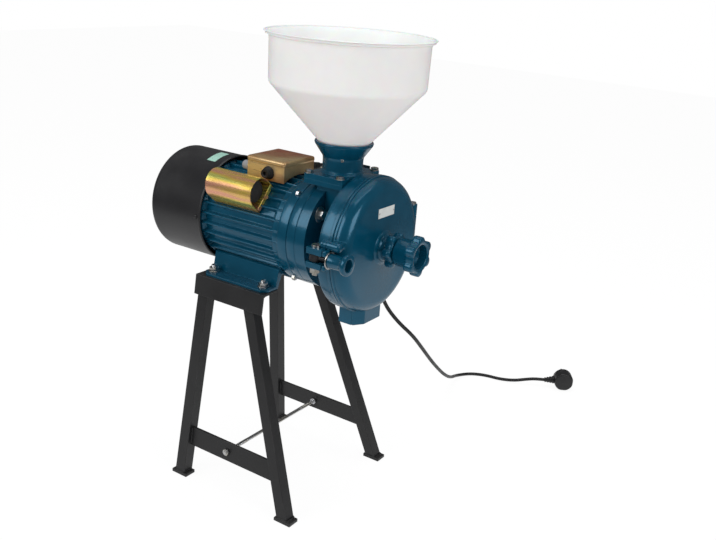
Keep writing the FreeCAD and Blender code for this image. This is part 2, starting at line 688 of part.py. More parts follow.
# Cooling fan on the rear end of the shaft, inside its cover.
fan_back = d.cover_back + 34
fan_hub = turned([(fan_back, shaft), (fan_back + d.fan_wide, shaft),
                  (fan_back + d.fan_wide, shaft + 6), (fan_back + 4, shaft + 6),
                  (fan_back + 4, d.fan_radius), (fan_back, d.fan_radius)], z=axis)
blades = doc.addObject("Part::Feature", "Blades")
count = int(d.fan_blades.value)
shapes = []
for i in range(count):
    blade = Part.makeBox(d.fan_wide.value - 3, 2.5, d.fan_radius.value - shaft.value - 5,
                         FreeCAD.Vector(fan_back.value + 3, -1.25, shaft.value + 3))
    blade.rotate(FreeCAD.Vector(0, 0, 0), FreeCAD.Vector(1, 0, 0), 360.0 * i / count)
    shapes.append(blade)
blades.Shape = Part.makeCompound(shapes)
put(blades, 0, 0, axis)
node(fuse(fan_hub, blades), "cooling_fan")

# Fan cover: a spun cup over the rear end of the frame, with an air grille in its rear face.
back = d.cover_back
tin = d.cover_wall
outer = shoulder(back, d.cover_radius, d.cover_round, -1)
inner = shoulder(back + tin, d.cover_radius - tin, d.cover_round - tin, -1)
cup = turned([(back, 0)] + outer + [(d.cover_rim, d.cover_radius), (d.cover_rim, d.cover_radius - tin)]
             + inner[::-1] + [(back + tin, 0)], z=axis)
grille = doc.addObject("Part::Feature", "Grille")
holes = []
for ring_radius, number in ((20, 8), (34, 14), (48, 20)):
    for i in range(number):
        angle = 2 * math.pi * i / number
        holes.append(Part.makeCylinder(4.0, tin.value + 4,
                                       FreeCAD.Vector(back.value - 2, ring_radius * math.cos(angle),
                                                      ring_radius * math.sin(angle)),
                                       FreeCAD.Vector(1, 0, 0)))
grille.Shape = Part.makeCompound(holes)
put(grille, 0, 0, axis)
posts = [rod("z", 4.5, axis + d.fin_tip - 2, axis + d.cover_radius - tin / 2, d.frame_start - 5, 0),
         rod("z", 4.5, axis - d.cover_radius + tin / 2, axis - d.fin_tip + 2, d.frame_start - 5, 0)]
node(fuse(cut(cup, grille), *posts), "fan_cover")

# Mill housing: flange, neck with the feed bore, feed pad, drum and the rear half of the spout.
flange = d.shield_end
neck = turned([(flange, d.feed_radius), (flange, d.shield_radius), (d.flange_end, d.shield_radius),
               (d.flange_end, d.neck_radius), (d.drum_start, d.neck_radius),
               (d.drum_start, d.drum_radius), (d.part_line, d.drum_radius),
               (d.part_line, d.drum_bore), (d.drum_start + d.drum_wall, d.drum_bore),
               (d.drum_start + d.drum_wall, d.feed_radius)], z=axis)
pad_z = axis + d.pad_top
pad_half = d.throat_long / 2
pad_wide = d.throat_wide / 2
pad = block(d.throat_x - pad_half, d.throat_x + pad_half, -pad_wide, pad_wide, pad_z - d.pad_deep,
            pad_z)
duct = block(flange + 1, d.drum_start + 1, -(d.throat_bore + 9), d.throat_bore + 9, axis + 20,
             pad_z - d.pad_deep)
spout_top = axis - d.drum_bore + 12
spout_z = axis - d.spout_low
spout_rear = block(d.spout_back, d.part_line, -d.spout_half, d.spout_half, spout_z, spout_top)
ear_z = axis + d.clamp_z
lug = block(d.clamp_x - 9, d.part_line, -d.ear_out, -(d.drum_radius - 12), ear_z - d.ear_low,
            ear_z + d.ear_high)
hinge_z0 = axis + d.hinge_low
hinge_z1 = axis + d.hinge_high
third = (hinge_z1 - hinge_z0) / 3
cheek = [fuse(rod("z", d.knuckle, z0, z1, d.hinge_x, d.hinge_y),
              block(d.hinge_x - 14, d.part_line, d.drum_radius - 14, d.hinge_y + 1, z0, z1))
         for z0, z1 in ((hinge_z0, hinge_z0 + third - gap), (hinge_z1 - third + gap, hinge_z1))]
solid = fuse(neck, pad, duct, spout_rear, lug, *cheek)
slit = d.clamp_bolt / 2 + 1.5
pockets = []
for sy in (-1, 1):
    for sz in (-1, 1):
        y = d.flange_ring * sin_of(48) * sy
        z = axis + d.flange_ring * cos_of(48) * sz
        pockets.append(rod("x", 11, flange + 8, d.flange_end + 1, y, z))
        pockets.append(rod("x", d.flange_bolt / 2 + 0.3, flange - 1, flange + 9, y, z))
bore = [rod("x", d.feed_radius, flange - 1, d.drum_start + d.drum_wall + 1, 0, axis),
        rod("z", d.throat_bore, axis, pad_z + 1, d.throat_x, 0),
        rod("x", d.drum_bore, d.drum_start + d.drum_wall, d.part_line + 1, 0, axis),
        block(d.spout_back + d.spout_wall, d.part_line + 1, -(d.spout_half - d.spout_wall),
              d.spout_half - d.spout_wall, spout_z - 1, spout_top + 1),
        block(d.clamp_x - 10, d.part_line + 1, -(d.ear_out + 1), -(d.clamp_y - 9.5), ear_z - slit,
              ear_z + slit),
        rod("z", d.clamp_pin / 2 + d.run_gap, ear_z - d.ear_low - 1, ear_z + d.ear_high + 1,
            d.clamp_x, -d.clamp_y),
        rod("z", d.hinge_pin / 2 + d.run_gap, hinge_z0 - 1, hinge_z1 + 1, d.hinge_x, d.hinge_y),
        rod("z", d.knuckle + 0.6, hinge_z0 + third - gap, hinge_z1 - third + gap, d.hinge_x,
            d.hinge_y),
        block(d.throat_x - d.shutter_wide / 2 - gap, d.throat_x + d.shutter_wide / 2 + gap,
              -(d.throat_bore + 4), pad_wide + 1, pad_z - d.shutter_thick - gap, pad_z + 1)]
for sx in (-1, 1):
    for sy in (-1, 1):
        bore.append(rod("z", 3.3, pad_z - d.pad_deep - 1, pad_z + 1,
                        d.throat_x + d.throat_bolts_x * sx, d.throat_bolts_y * sy))
bar = rod("x", 6.5, d.clamp_x + 8, d.part_line, -106, ear_z + 19)
node(cut(fuse(solid, bar), *(bore + pockets)), "mill_housing")

# Bolts of the mounting flange, heads forward in their pockets.
number = 0
for sy in (-1, 1):
    for sz in (-1, 1):
        number += 1
        y = d.flange_ring * sin_of(48) * sy
        z = axis + d.flange_ring * cos_of(48) * sz
        seat = flange + 8
        node(fuse(hexagon("x", 13, seat, seat + 5.5, y, z),
                  rod("x", d.flange_bolt / 2, flange + 0.0, seat + 1, y, z)),
             "flange_bolt_%d" % number)

# Feed shutter: a flat slide between pad and throat, with a turned-up grip on the far side.
shutter_y1 = pad_wide + 8
node(fuse(block(d.throat_x - d.shutter_wide / 2, d.throat_x + d.shutter_wide / 2,
                -(d.throat_bore + 3), shutter_y1, pad_z - d.shutter_thick, pad_z - 0.3),
          block(d.throat_x - 12, d.throat_x + 12, shutter_y1 - 2, shutter_y1,
                pad_z - d.shutter_thick, pad_z + 10)), "feed_shutter")

# Throat casting: bolted flange, tube and flared rim.
t0 = pad_z
t1 = pad_z + d.throat_flange
slab = block(d.throat_x - pad_half, d.throat_x + pad_half, -pad_wide, pad_wide, t0, t1)
tube = turned([(t0, d.throat_bore), (t1, d.throat_bore), (axis + d.throat_taper, d.throat_bore),
               (axis + d.throat_top, d.throat_rim - 3.5), (axis + d.throat_top, d.throat_rim),
               (axis + d.throat_top - 4, d.throat_rim), (axis + d.throat_taper, d.throat_tube),
               (t1 + 4, d.throat_tube), (t1, d.throat_tube + 4), (t0, d.throat_tube + 4)],
              along="z", x=d.throat_x)
holes = [rod("z", 3.3, t0 - 1, t1 + 1, d.throat_x + d.throat_bolts_x * sx, d.throat_bolts_y * sy)
         for sx in (-1, 1) for sy in (-1, 1)]
node(cut(fuse(cut(slab, rod("z", d.throat_bore, t0 - 1, t1 + 1, d.throat_x, 0)), tube), *holes),
     "throat_collar")
for sx, end in ((-1, "rear"), (1, "front")):
    for sy, side in ((-1, "near"), (1, "far")):
        x = d.throat_x + d.throat_bolts_x * sx
        y = d.throat_bolts_y * sy
        node(fuse(hexagon("z", 10, t1, t1 + 4.2, x, y),
                  rod("z", 3, pad_z - d.pad_deep, t1 + 1, x, y)),
             "throat_bolt_%s_%s" % (side, end))

# Hopper: thin moulded funnel, its neck standing in the throat.
h = d.hopper_wall
top = axis + d.hopper_rim
knee = axis + d.hopper_knee
seat = axis + d.throat_top
low = axis + d.hopper_low
taper = axis + d.throat_taper
free = 0.35
neck_out = d.throat_bore - free
seat_out = d.throat_rim - 3.5 - free
node(turned([(low, neck_out - h), (taper + 1.5, neck_out - h),
             (seat + 1.5, seat_out - h), (knee, d.hopper_mid - h), (top - 1, d.hopper_top - h),
             (top, d.hopper_top - h), (top, d.hopper_lip - 1), (top - 3, d.hopper_lip),
             (top - 4, d.hopper_lip), (top - 4, d.hopper_top), (knee, d.hopper_mid),
             (seat, seat_out), (taper, neck_out), (low, neck_out)], along="z", x=d.throat_x),
     "hopper")

# Auger: a screw flight round a sleeve on the shaft.
turns = 2.3
back_end = d.auger_start.value
sleeve_long = d.turn_back.value - 3 - back_end
flight_long = sleeve_long - 7
root = d.auger_core.value - 1.5
helix = Part.makeHelix(flight_long / turns, flight_long, root)
section = Part.makePolygon([FreeCAD.Vector(root, 0, 0),
                            FreeCAD.Vector(d.auger_radius.value, 0, 0.6),
                            FreeCAD.Vector(d.auger_radius.value, 0, 2.6),
                            FreeCAD.Vector(root, 0, 3.2),
                            FreeCAD.Vector(root, 0, 0)])
flight = Part.Wire(helix).makePipeShell([section], True, True)
flight.rotate(FreeCAD.Vector(0, 0, 0), FreeCAD.Vector(0, 1, 0), 90)
flight.translate(FreeCAD.Vector(back_end + 3, 0, 0))
along = FreeCAD.Vector(1, 0, 0)
foot_of = FreeCAD.Vector(back_end, 0, 0)
sleeve = Part.makeCylinder(d.auger_core.value, sleeve_long, foot_of, along)
sleeve = sleeve.cut(Part.makeCylinder(shaft.value, sleeve_long, foot_of, along))
auger = doc.addObject("Part::Feature", "Auger")
auger.Shape = sleeve.fuse(flight)
put(auger, 0, 0, axis)
node(auger, "feed_auger")

# Grinding discs, pressure plate and adjusting screw.
fixed_back = d.turn_front + d.grind_gap
fixed_front = fixed_back + d.fixed_thick
plate_front = fixed_front + d.plate_thick
wheel = turned([(d.turn_back - 3, shaft - 4), (d.turn_back - 3, d.auger_core),
                (d.turn_back, d.auger_core), (d.turn_back, d.disc_radius),
                (d.turn_front, d.disc_radius), (d.turn_front - 2, d.disc_hole),
                (d.turn_front - 2, shaft - 4)], z=axis)
ports = [rod("x", 5, d.turn_back - 1, d.turn_front + 1, sin_of(t) * (d.disc_hole - 7),
             axis + cos_of(t) * (d.disc_hole - 7)) for t in (0, 60, 120, 180, 240, 300)]
node(cut(wheel, *ports), "turning_disc")
node(turned([(fixed_back + 2, d.disc_hole), (fixed_back, d.disc_hole + 12),
             (fixed_back, d.disc_radius), (fixed_front, d.disc_radius),
             (fixed_front, d.disc_hole)], z=axis), "fixed_disc")
screw = d.screw_dia / 2
node(turned([(fixed_front, 0), (fixed_front, d.disc_radius - 2), (plate_front, d.disc_radius - 2),
             (plate_front, screw + 2), (plate_front + 2.5, screw + 2), (plate_front + 2.5, 0)],
            z=axis), "pressure_plate")
lobes = doc.addObject("Part::Feature", "Lobes")
shapes = []
for i in range(int(d.wheel_lobes.value)):
    reach = d.wheel_radius.value - d.lobe_radius.value
    angle = math.radians(90 + 360.0 * i / d.wheel_lobes.value)
    shapes.append(Part.makeCylinder(d.lobe_radius.value, d.wheel_front.value - d.wheel_back.value,
                                    FreeCAD.Vector(d.wheel_back.value, reach * math.cos(angle),
                                                   reach * math.sin(angle)),
                                    FreeCAD.Vector(1, 0, 0)))
lobes.Shape = Part.makeCompound(shapes)
put(lobes, 0, 0, axis)
screw_start = plate_front + 2.5
node(fuse(turned([(screw_start, 0), (d.wheel_back, 0), (d.wheel_back, screw),
                  (screw_start, screw)], z=axis),
          turned([(d.hub_start, screw - 1), (d.hub_start, d.hub_radius),
                  (d.wheel_back, d.hub_radius), (d.wheel_back, d.wheel_radius - 5.5),
                  (d.wheel_front, d.wheel_radius - 5.5), (d.wheel_front, d.hub_radius - 3),
                  (d.wheel_back, d.hub_radius - 4), (d.wheel_back, 0),
                  (d.wheel_back - 1, 0), (d.wheel_back - 1, screw - 1)], z=axis), lobes),
     "adjusting_screw")
lobes = doc.addObject("Part::Feature", "LockLobes")
shapes = []
for i in range(int(d.wheel_lobes.value)):
    angle = math.radians(60 + 360.0 * i / d.wheel_lobes.value)
    reach = d.lock_radius.value - 6
    shapes.append(Part.makeCylinder(6, d.lock_front.value - d.lock_back.value,
                                    FreeCAD.Vector(d.lock_back.value, reach * math.cos(angle),
                                                   reach * math.sin(angle)),
                                    FreeCAD.Vector(1, 0, 0)))
lobes.Shape = Part.makeCompound(shapes)
put(lobes, 0, 0, axis)
node(cut(fuse(rod("x", d.lock_radius - 5, d.lock_back, d.lock_front, 0, axis), lobes),
         rod("x", screw + d.run_gap, d.lock_back - 1, d.lock_front + 1, 0, axis)), "lock_wheel")

# Front cover: a shallow dish with boss, clamp ear, hinge knuckle and front half of the spout.
face = d.part_line + d.part_gap
inside = d.lid_front - d.lid_wall
dish = turned([(face, d.drum_bore), (face, d.drum_radius)]
              + shoulder(d.lid_front, d.drum_radius, d.lid_round, 1)
              + [(d.lid_front, d.boss_radius + 6), (d.lid_front + 3, d.boss_radius),
                 (d.boss_end, d.boss_radius), (d.boss_end, screw + d.run_gap),
                 (inside, screw + d.run_gap), (inside, d.drum_bore - 8),
                 (inside - 8, d.drum_bore)], z=axis)
spout_fore = padded([(face, -d.spout_half), (face + 2, -d.spout_half),
                     (d.spout_front, -(d.spout_half - 15)), (d.spout_front, d.spout_half - 15),
                     (face + 2, d.spout_half), (face, d.spout_half)], "XY_Plane",
                    spout_top - spout_z - 6, z=spout_z)
spout_bore = padded([(face - 1, -(d.spout_half - 4)), (face + 1, -(d.spout_half - 4)),
                     (d.spout_front - d.spout_wall, -(d.spout_half - 18)),
                     (d.spout_front - d.spout_wall, d.spout_half - 18),
                     (face + 1, d.spout_half - 4), (face - 1, d.spout_half - 4)], "XY_Plane",
                    spout_top - spout_z + 2, z=spout_z - 1)
ear = block(face, face + d.ear_thick, -d.ear_out, -(d.drum_radius - 12), ear_z - d.ear_low,
            ear_z + d.ear_high)
guard = fuse(rod("x", 6.5, face, face + 21, -106, ear_z + 19),
             block(face, face + 17, -106, -(d.drum_radius - 16), ear_z + 14, ear_z + 24))
knuckle = fuse(rod("z", d.knuckle, hinge_z0 + third + gap, hinge_z1 - third - gap, d.hinge_x,
                   d.hinge_y),
               block(face, d.hinge_x + 12, d.drum_radius - 14, d.hinge_y + 1,
                     hinge_z0 + third + gap, hinge_z1 - third - gap))
node(cut(fuse(dish, spout_fore, ear, guard, knuckle), spout_bore,
         block(face - 1, face + d.ear_thick + 1, -(d.ear_out + 1), -(d.clamp_y - 6),
               ear_z - slit, ear_z + slit),
         rod("z", d.hinge_pin / 2 + d.run_gap, hinge_z0, hinge_z1, d.hinge_x, d.hinge_y),
         rod("x", d.nut_radius + 1, face + d.ear_thick, d.lid_front + 30, -d.clamp_y, ear_z)),
     "front_cover")
node(fuse(rod("z", d.hinge_pin / 2, hinge_z0 - 4, hinge_z1, d.hinge_x, d.hinge_y),
          rod("z", d.hinge_pin / 2 + 2, hinge_z1, hinge_z1 + 3, d.hinge_x, d.hinge_y)),
     "hinge_pin")
node(block(d.lid_front, d.lid_front + d.label_thick, -d.label_long / 2, d.label_long / 2,
           axis + d.label_up - d.label_high / 2, axis + d.label_up + d.label_high / 2),
     "label_plate")

# Clamp: a swing bolt on an upright pin, and the hand nut that stays in front of the ear.
eye = d.clamp_bolt
ear_front = face + d.ear_thick
node(cut(fuse(rod("z", eye, ear_z - d.clamp_bolt / 2, ear_z + d.clamp_bolt / 2, d.clamp_x,
                  -d.clamp_y),
              rod("x", d.clamp_bolt / 2, d.clamp_x + 6, ear_front - 0.3, -d.clamp_y, ear_z)),
         rod("z", d.clamp_pin / 2 + d.run_gap, ear_z - 10, ear_z + 10, d.clamp_x, -d.clamp_y)),
     "swing_bolt")
pin_top = ear_z + d.ear_high
pin_low = ear_z - d.ear_low
node(fuse(rod("z", d.clamp_pin / 2, pin_low - 12, pin_top, d.clamp_x, -d.clamp_y),
          rod("z", d.clamp_pin / 2 + 2.5, pin_top, pin_top + 3, d.clamp_x, -d.clamp_y),
          hexagon("z", 13, pin_low - 8, pin_low, d.clamp_x, -d.clamp_y)), "clamp_pin")
nut_back = ear_front + 0.3
node(cut(fuse(rod("x", d.nut_radius - 2.5, nut_back, nut_back + 2, -d.clamp_y, ear_z),
              rod("x", d.nut_hub, nut_back + 1, d.nut_front - 6, -d.clamp_y, ear_z),
              cone("x", d.nut_hub, d.nut_radius, d.nut_front - 12, d.nut_front - 6, -d.clamp_y,
                   ear_z),
              rod("x", d.nut_radius, d.nut_front - 6, d.nut_front, -d.clamp_y, ear_z)),
         rod("x", d.clamp_bolt / 2 + 0.6, nut_back - 1, d.nut_front + 1, -d.clamp_y, ear_z),
         rod("x", 8.5, d.nut_front - 10, d.nut_front + 1, -d.clamp_y, ear_z)),
     "hand_nut")

# Power cord: from the gland down behind the mill and along the floor to the plug.
ROUTE = [(36, 64, 502), (36, 96, 497), (44, 130, 470), (62, 152, 425), (84, 154, 380),
         (101, 148, 338), (112, 146, 300), (126, 148, 268), (148, 158, 241), (165, 182, 214),
         (163, 224, 176),
         (156, 276, 132), (146, 330, 92), (133, 385, 56), (119, 440, 26), (106, 492, 7.5),
         (120, 528, 3.3), (148, 543, 3.3), (180, 547, 3.3), (208, 556, 6), (229, 568, 11.5),
         (245, 578, 14.3), (261, 586.5, 14.3)]
V = FreeCAD.Vector
route = [V(*p) for p in ROUTE]
route[0] = V(d.gland_x.value, d.gland_out.value, (axis + d.gland_up).value)
edges = []
last = route[0]
radii = []
for i in range(1, len(route) - 1):
    p = route[i]
    one = (route[i - 1] - p)
    two = (route[i + 1] - p)
    shorter = min(one.Length, two.Length)
    one.normalize()
    two.normalize()
    turn = math.pi - one.getAngle(two)
    bend = 0.45 * shorter / math.tan(turn / 2)
    radii.append(round(bend, 1))
    reach = bend * math.tan(turn / 2)
    a = p + one * reach
    b = p + two * reach
    mid_line = one + two
    mid_line.normalize()
    mid = p + mid_line * (bend / math.cos(turn / 2) - bend)
    if (a - last).Length > 1e-6:
        edges.append(Part.LineSegment(last, a).toShape())
    edges.append(Part.Arc(a, mid, b).toShape())
    last = b
edges.append(Part.LineSegment(last, route[-1]).toShape())
path = Part.Wire(edges)
start_dir = route[1] - route[0]
circle = Part.Wire([Part.Circle(route[0], start_dir, d.cord_dia.value / 2).toShape()])
tube = path.makePipeShell([circle], True, False)
print("cord radii", radii, "length", round(path.Length, 1), "volume ratio",
      round(tube.Volume / (path.Length * math.pi * d.cord_dia.value ** 2 / 4), 4))
cord = doc.addObject("Part::Feature", "Cord")
cord.Shape = tube
node(cord, "power_cord")

# Plug: a round two-pin plug lying on the floor.
plug_dir = route[-1] - route[-2]
plug_dir.normalize()
plug = doc.addObject("Part::Feature", "Plug")
r = d.plug_radius.value
n = d.plug_long.value
neck = Part.makeCone(4.5, 7, 16, route[-1], plug_dir)
trunk = Part.makeCylinder(r, n, route[-1] + plug_dir * 16, plug_dir)
across = plug_dir.cross(V(0, 0, 1))
across.normalize()
shape = neck.fuse(trunk)
for s in (-1, 1):
    pin = Part.makeCylinder(2.2, 18, route[-1] + plug_dir * (16 + n - 0.5) + across * 9.5 * s,
                            plug_dir)
    shape = shape.fuse(pin)
plug.Shape = shape
node(plug, "power_plug")

doc.recompute()
bad = [o.Label for o in doc.Objects if "Invalid" in o.State or "Error" in o.State]
if bad:
    raise SystemExit("failed: " + ", ".join(bad))
for obj in nodes:
    shape = obj.Shape
    if shape.isNull() or not shape.isValid():
        raise SystemExit("bad shape: " + obj.Label)
    shape.exportStep("parts/" + obj.Label + ".step")
    print(obj.Label, len(shape.Solids), round(shape.Volume))
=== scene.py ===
import math

import bmesh
import bpy
import numpy as np
from mathutils import Matrix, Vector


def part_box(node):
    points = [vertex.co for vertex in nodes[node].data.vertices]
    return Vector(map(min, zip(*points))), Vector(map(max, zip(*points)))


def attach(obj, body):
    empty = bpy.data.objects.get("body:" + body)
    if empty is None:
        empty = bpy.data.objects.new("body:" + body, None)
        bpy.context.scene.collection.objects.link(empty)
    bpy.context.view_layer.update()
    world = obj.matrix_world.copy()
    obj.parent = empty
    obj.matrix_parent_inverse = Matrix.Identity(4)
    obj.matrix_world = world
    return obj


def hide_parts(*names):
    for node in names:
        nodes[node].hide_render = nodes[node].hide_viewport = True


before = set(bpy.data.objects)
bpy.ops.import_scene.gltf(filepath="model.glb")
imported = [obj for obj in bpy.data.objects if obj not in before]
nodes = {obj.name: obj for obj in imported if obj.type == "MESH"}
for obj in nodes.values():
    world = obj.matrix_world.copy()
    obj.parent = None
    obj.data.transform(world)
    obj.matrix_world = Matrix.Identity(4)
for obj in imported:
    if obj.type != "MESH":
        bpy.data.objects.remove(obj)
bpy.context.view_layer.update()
MACHINE = "stand_and_mill"
AXIS = 0.4215

# The camera stands to the right of the near side, a little above the hopper's rim, and leans by 4 degrees.
# Its place and lens come from a fit of the machine's feet, rails, drum and hopper to the photograph.
eye = np.array([0.84427, -1.06049, 0.81573])
turn, tip, lean = np.radians([32.73, 19.2, 4.19])
forward = np.array([-np.sin(turn) * np.cos(tip), np.cos(turn) * np.cos(tip), -np.sin(tip)])
level = np.cross(forward, [0, 0, 1])
level /= np.linalg.norm(level)
upright = np.cross(level, forward)
right = np.cos(lean) * level + np.sin(lean) * upright
above = np.cos(lean) * upright - np.sin(lean) * level
view = np.eye(4)
view[:3, 0] = right
view[:3, 1] = above
view[:3, 2] = -forward
view[:3, 3] = eye
lens = bpy.data.cameras.new("photo_view")
lens.sensor_width = 36.0
lens.lens = 45.58
lens.clip_start = 0.05
camera = bpy.data.objects.new("photo_view", lens)
camera.matrix_world = Matrix(view.tolist())
bpy.context.scene.collection.objects.link(camera)
bpy.context.scene.camera = camera
bpy.context.scene.view_settings.view_transform = "Standard"

# The room is a white studio sweep: a matt floor that reads as pure white but keeps the soft shadow.
# Large softboxes hang on the near side, over the top and beyond the hand wheel.
def wire(tree, kind, settings=(), **sockets):
    """Adds one node, sets its options, and fills or links its inputs by name."""
    made = tree.nodes.new(kind)
    for key, value in dict(settings).items():
        setattr(made, key, value)
    for key, value in sockets.items():
        socket = made.inputs[int(key[1:])] if key[1:].isdigit() else made.inputs[key.replace("_", " ")]
        if isinstance(value, bpy.types.NodeSocket):
            tree.links.new(value, socket)
        else:
            socket.default_value = value
    return made


def blank_material(name):
    """A material with nodes and nothing in its tree but the output."""
    made = bpy.data.materials.new(name)
    made.use_nodes = True
    made.node_tree.nodes.clear()
    return made, made.node_tree, made.node_tree.nodes.new("ShaderNodeOutputMaterial")


paper, tree, output = blank_material("studio_floor")
path = tree.nodes.new("ShaderNodeLightPath")
matt = wire(tree, "ShaderNodeBsdfDiffuse", Color=(0.86, 0.86, 0.86, 1))
glow = wire(tree, "ShaderNodeEmission", Color=(1, 1, 1, 1), Strength=1.04)
place = tree.nodes.new("ShaderNodeTexCoord").outputs["Object"]
spread = wire(tree, "ShaderNodeVectorMath", {"operation": "LENGTH"}, _0=place)
lit = wire(tree, "ShaderNodeMapRange", Value=spread.outputs["Value"], From_Min=1.15, From_Max=1.5, To_Min=0.72, To_Max=0.1)
mirrored = wire(tree, "ShaderNodeEmission", Color=(1, 1, 1, 1), Strength=lit.outputs[0])
share = wire(tree, "ShaderNodeMath", {"operation": "MULTIPLY"}, _0=path.outputs["Is Camera Ray"], _1=0.9)
direct = wire(tree, "ShaderNodeMixShader", _0=share.outputs[0], _1=matt.outputs[0], _2=glow.outputs[0])
both = wire(tree, "ShaderNodeMixShader", _0=path.outputs["Is Glossy Ray"], _1=direct.outputs[0], _2=mirrored.outputs[0])
tree.links.new(both.outputs[0], output.inputs["Surface"])
floor_mesh = bpy.data.meshes.new("studio_floor")
floor_mesh.from_pydata([(-6, -6, 0), (6, -6, 0), (6, 6, 0), (-6, 6, 0)], [], [(0, 1, 2, 3)])
floor_mesh.materials.append(paper)
floor = bpy.data.objects.new("studio_floor", floor_mesh)
bpy.context.scene.collection.objects.link(floor)

world = bpy.data.worlds.new("studio")
world.use_nodes = True
sky = world.node_tree
sky.nodes.clear()
rays = sky.nodes.new("ShaderNodeLightPath")
open_view = wire(sky, "ShaderNodeMath", {"operation": "MAXIMUM"}, _0=rays.outputs["Is Camera Ray"],
                 _1=rays.outputs["Is Transmission Ray"])
dim = wire(sky, "ShaderNodeBackground", Color=(1, 1, 1, 1), Strength=0.5)
faint = wire(sky, "ShaderNodeBackground", Color=(1, 1, 1, 1), Strength=0.13)
full = wire(sky, "ShaderNodeBackground", Color=(1, 1, 1, 1), Strength=1.0)
soft = wire(sky, "ShaderNodeMixShader", _0=rays.outputs["Is Glossy Ray"], _1=dim.outputs[0], _2=faint.outputs[0])
mixed = wire(sky, "ShaderNodeMixShader", _0=open_view.outputs[0], _1=soft.outputs[0], _2=full.outputs[0])
sky_out = sky.nodes.new("ShaderNodeOutputWorld")
sky.links.new(mixed.outputs[0], sky_out.inputs["Surface"])
bpy.context.scene.world = world

for name, place, size, power in (("near_softbox", (-0.75, -1.75, 1.55), 1.3, 17.0),
                                 ("wheel_softbox", (2.1, -0.35, 1.25), 1.1, 12.0),
                                 ("top_softbox", (0.1, 0.25, 2.3), 1.5, 14.0)):
    lamp = bpy.data.lights.new(name, "AREA")
    lamp.shape = "SQUARE"
    lamp.size = size
    lamp.energy = power
    holder = bpy.data.objects.new(name, lamp)
    aim = np.array([0.05, 0.0, 0.4]) - np.array(place)
    aim /= np.linalg.norm(aim)
    side = np.cross(aim, [0, 0.01, 1])
    side /= np.linalg.norm(side)
    stance = np.eye(4)
    stance[:3, 0] = side
    stance[:3, 1] = np.cross(side, aim)
    stance[:3, 2] = -aim
    stance[:3, 3] = place
    holder.matrix_world = Matrix(stance.tolist())
    bpy.context.scene.collection.objects.link(holder)

# The mains lead is a round black rubber cable, 6.4 mm thick, from the gland behind the drum to the floor.
# It hangs free beside the hinge, reaches the floor behind the mill and lies there in a flat bend.
def soft_skin():
    """Group for rubber and moulded plastic: fine grain, a slow cloud of tone and rounded edges."""
    made = bpy.data.node_groups.new("moulded_skin", "ShaderNodeTree")
    face = made.interface
    for name, kind, value in (("Color", "NodeSocketColor", (0.5, 0.5, 0.5, 1)), ("Cloud", "NodeSocketFloat", 0.2),
                              ("Grain", "NodeSocketFloat", 900.0), ("Depth", "NodeSocketFloat", 0.1),
                              ("Rough", "NodeSocketFloat", 0.5), ("Edge", "NodeSocketFloat", 0.0006)):
        face.new_socket(name, in_out="INPUT", socket_type=kind).default_value = value
    for name, kind in (("Color", "NodeSocketColor"), ("Roughness", "NodeSocketFloat"), ("Normal", "NodeSocketVector")):
        face.new_socket(name, in_out="OUTPUT", socket_type=kind)
    start = made.nodes.new("NodeGroupInput").outputs
    place = made.nodes.new("ShaderNodeTexCoord").outputs["Object"]
    slow = wire(made, "ShaderNodeTexNoise", Vector=place, Scale=38.0, Detail=3.0)
    fine = wire(made, "ShaderNodeTexNoise", Vector=place, Scale=start["Grain"], Detail=2.0)
    tone = wire(made, "ShaderNodeMapRange", Value=slow.outputs[0], From_Min=0.3, From_Max=0.7, To_Min=0.75, To_Max=1.3)
    tinted = wire(made, "ShaderNodeVectorMath", {"operation": "SCALE"}, _0=start["Color"], Scale=tone.outputs[0])
    shade = wire(made, "ShaderNodeMix", {"data_type": "RGBA"}, _0=start["Cloud"], _6=start["Color"], _7=tinted.outputs[0])
    rub = wire(made, "ShaderNodeMapRange", Value=slow.outputs[0], From_Min=0.3, From_Max=0.7, To_Min=-0.08, To_Max=0.08)
    rough = wire(made, "ShaderNodeMath", {"operation": "ADD"}, _0=start["Rough"], _1=rub.outputs[0])
    soft = wire(made, "ShaderNodeBevel", {"samples": 3}, Radius=start["Edge"])
    bump = wire(made, "ShaderNodeBump", Strength=start["Depth"], Distance=0.0003, Height=fine.outputs[0], Normal=soft.outputs[0])
    end = made.nodes.new("NodeGroupOutput")
    made.links.new(shade.outputs[2], end.inputs["Color"])
    made.links.new(rough.outputs[0], end.inputs["Roughness"])
    made.links.new(bump.outputs[0], end.inputs["Normal"])
    return made


moulded_skin = soft_skin()


def coated(name, group, metal=0.0, coat=0.0, coat_rough=0.1, shine=0.5, values=(), **extra):
    """A material whose colour, roughness and normal come from one of the skin groups."""
    made, tree, output = blank_material(name)
    skin = tree.nodes.new("ShaderNodeGroup")
    skin.node_tree = group
    for key, value in dict(values).items():
        skin.inputs[key].default_value = value
    surface = wire(tree, "ShaderNodeBsdfPrincipled", Metallic=metal, Coat_Weight=coat, Coat_Roughness=coat_rough,
                   Specular_IOR_Level=shine, Base_Color=skin.outputs["Color"],
                   Roughness=skin.outputs["Roughness"], Normal=skin.outputs["Normal"], **extra)
    tree.links.new(surface.outputs[0], output.inputs["Surface"])
    return made


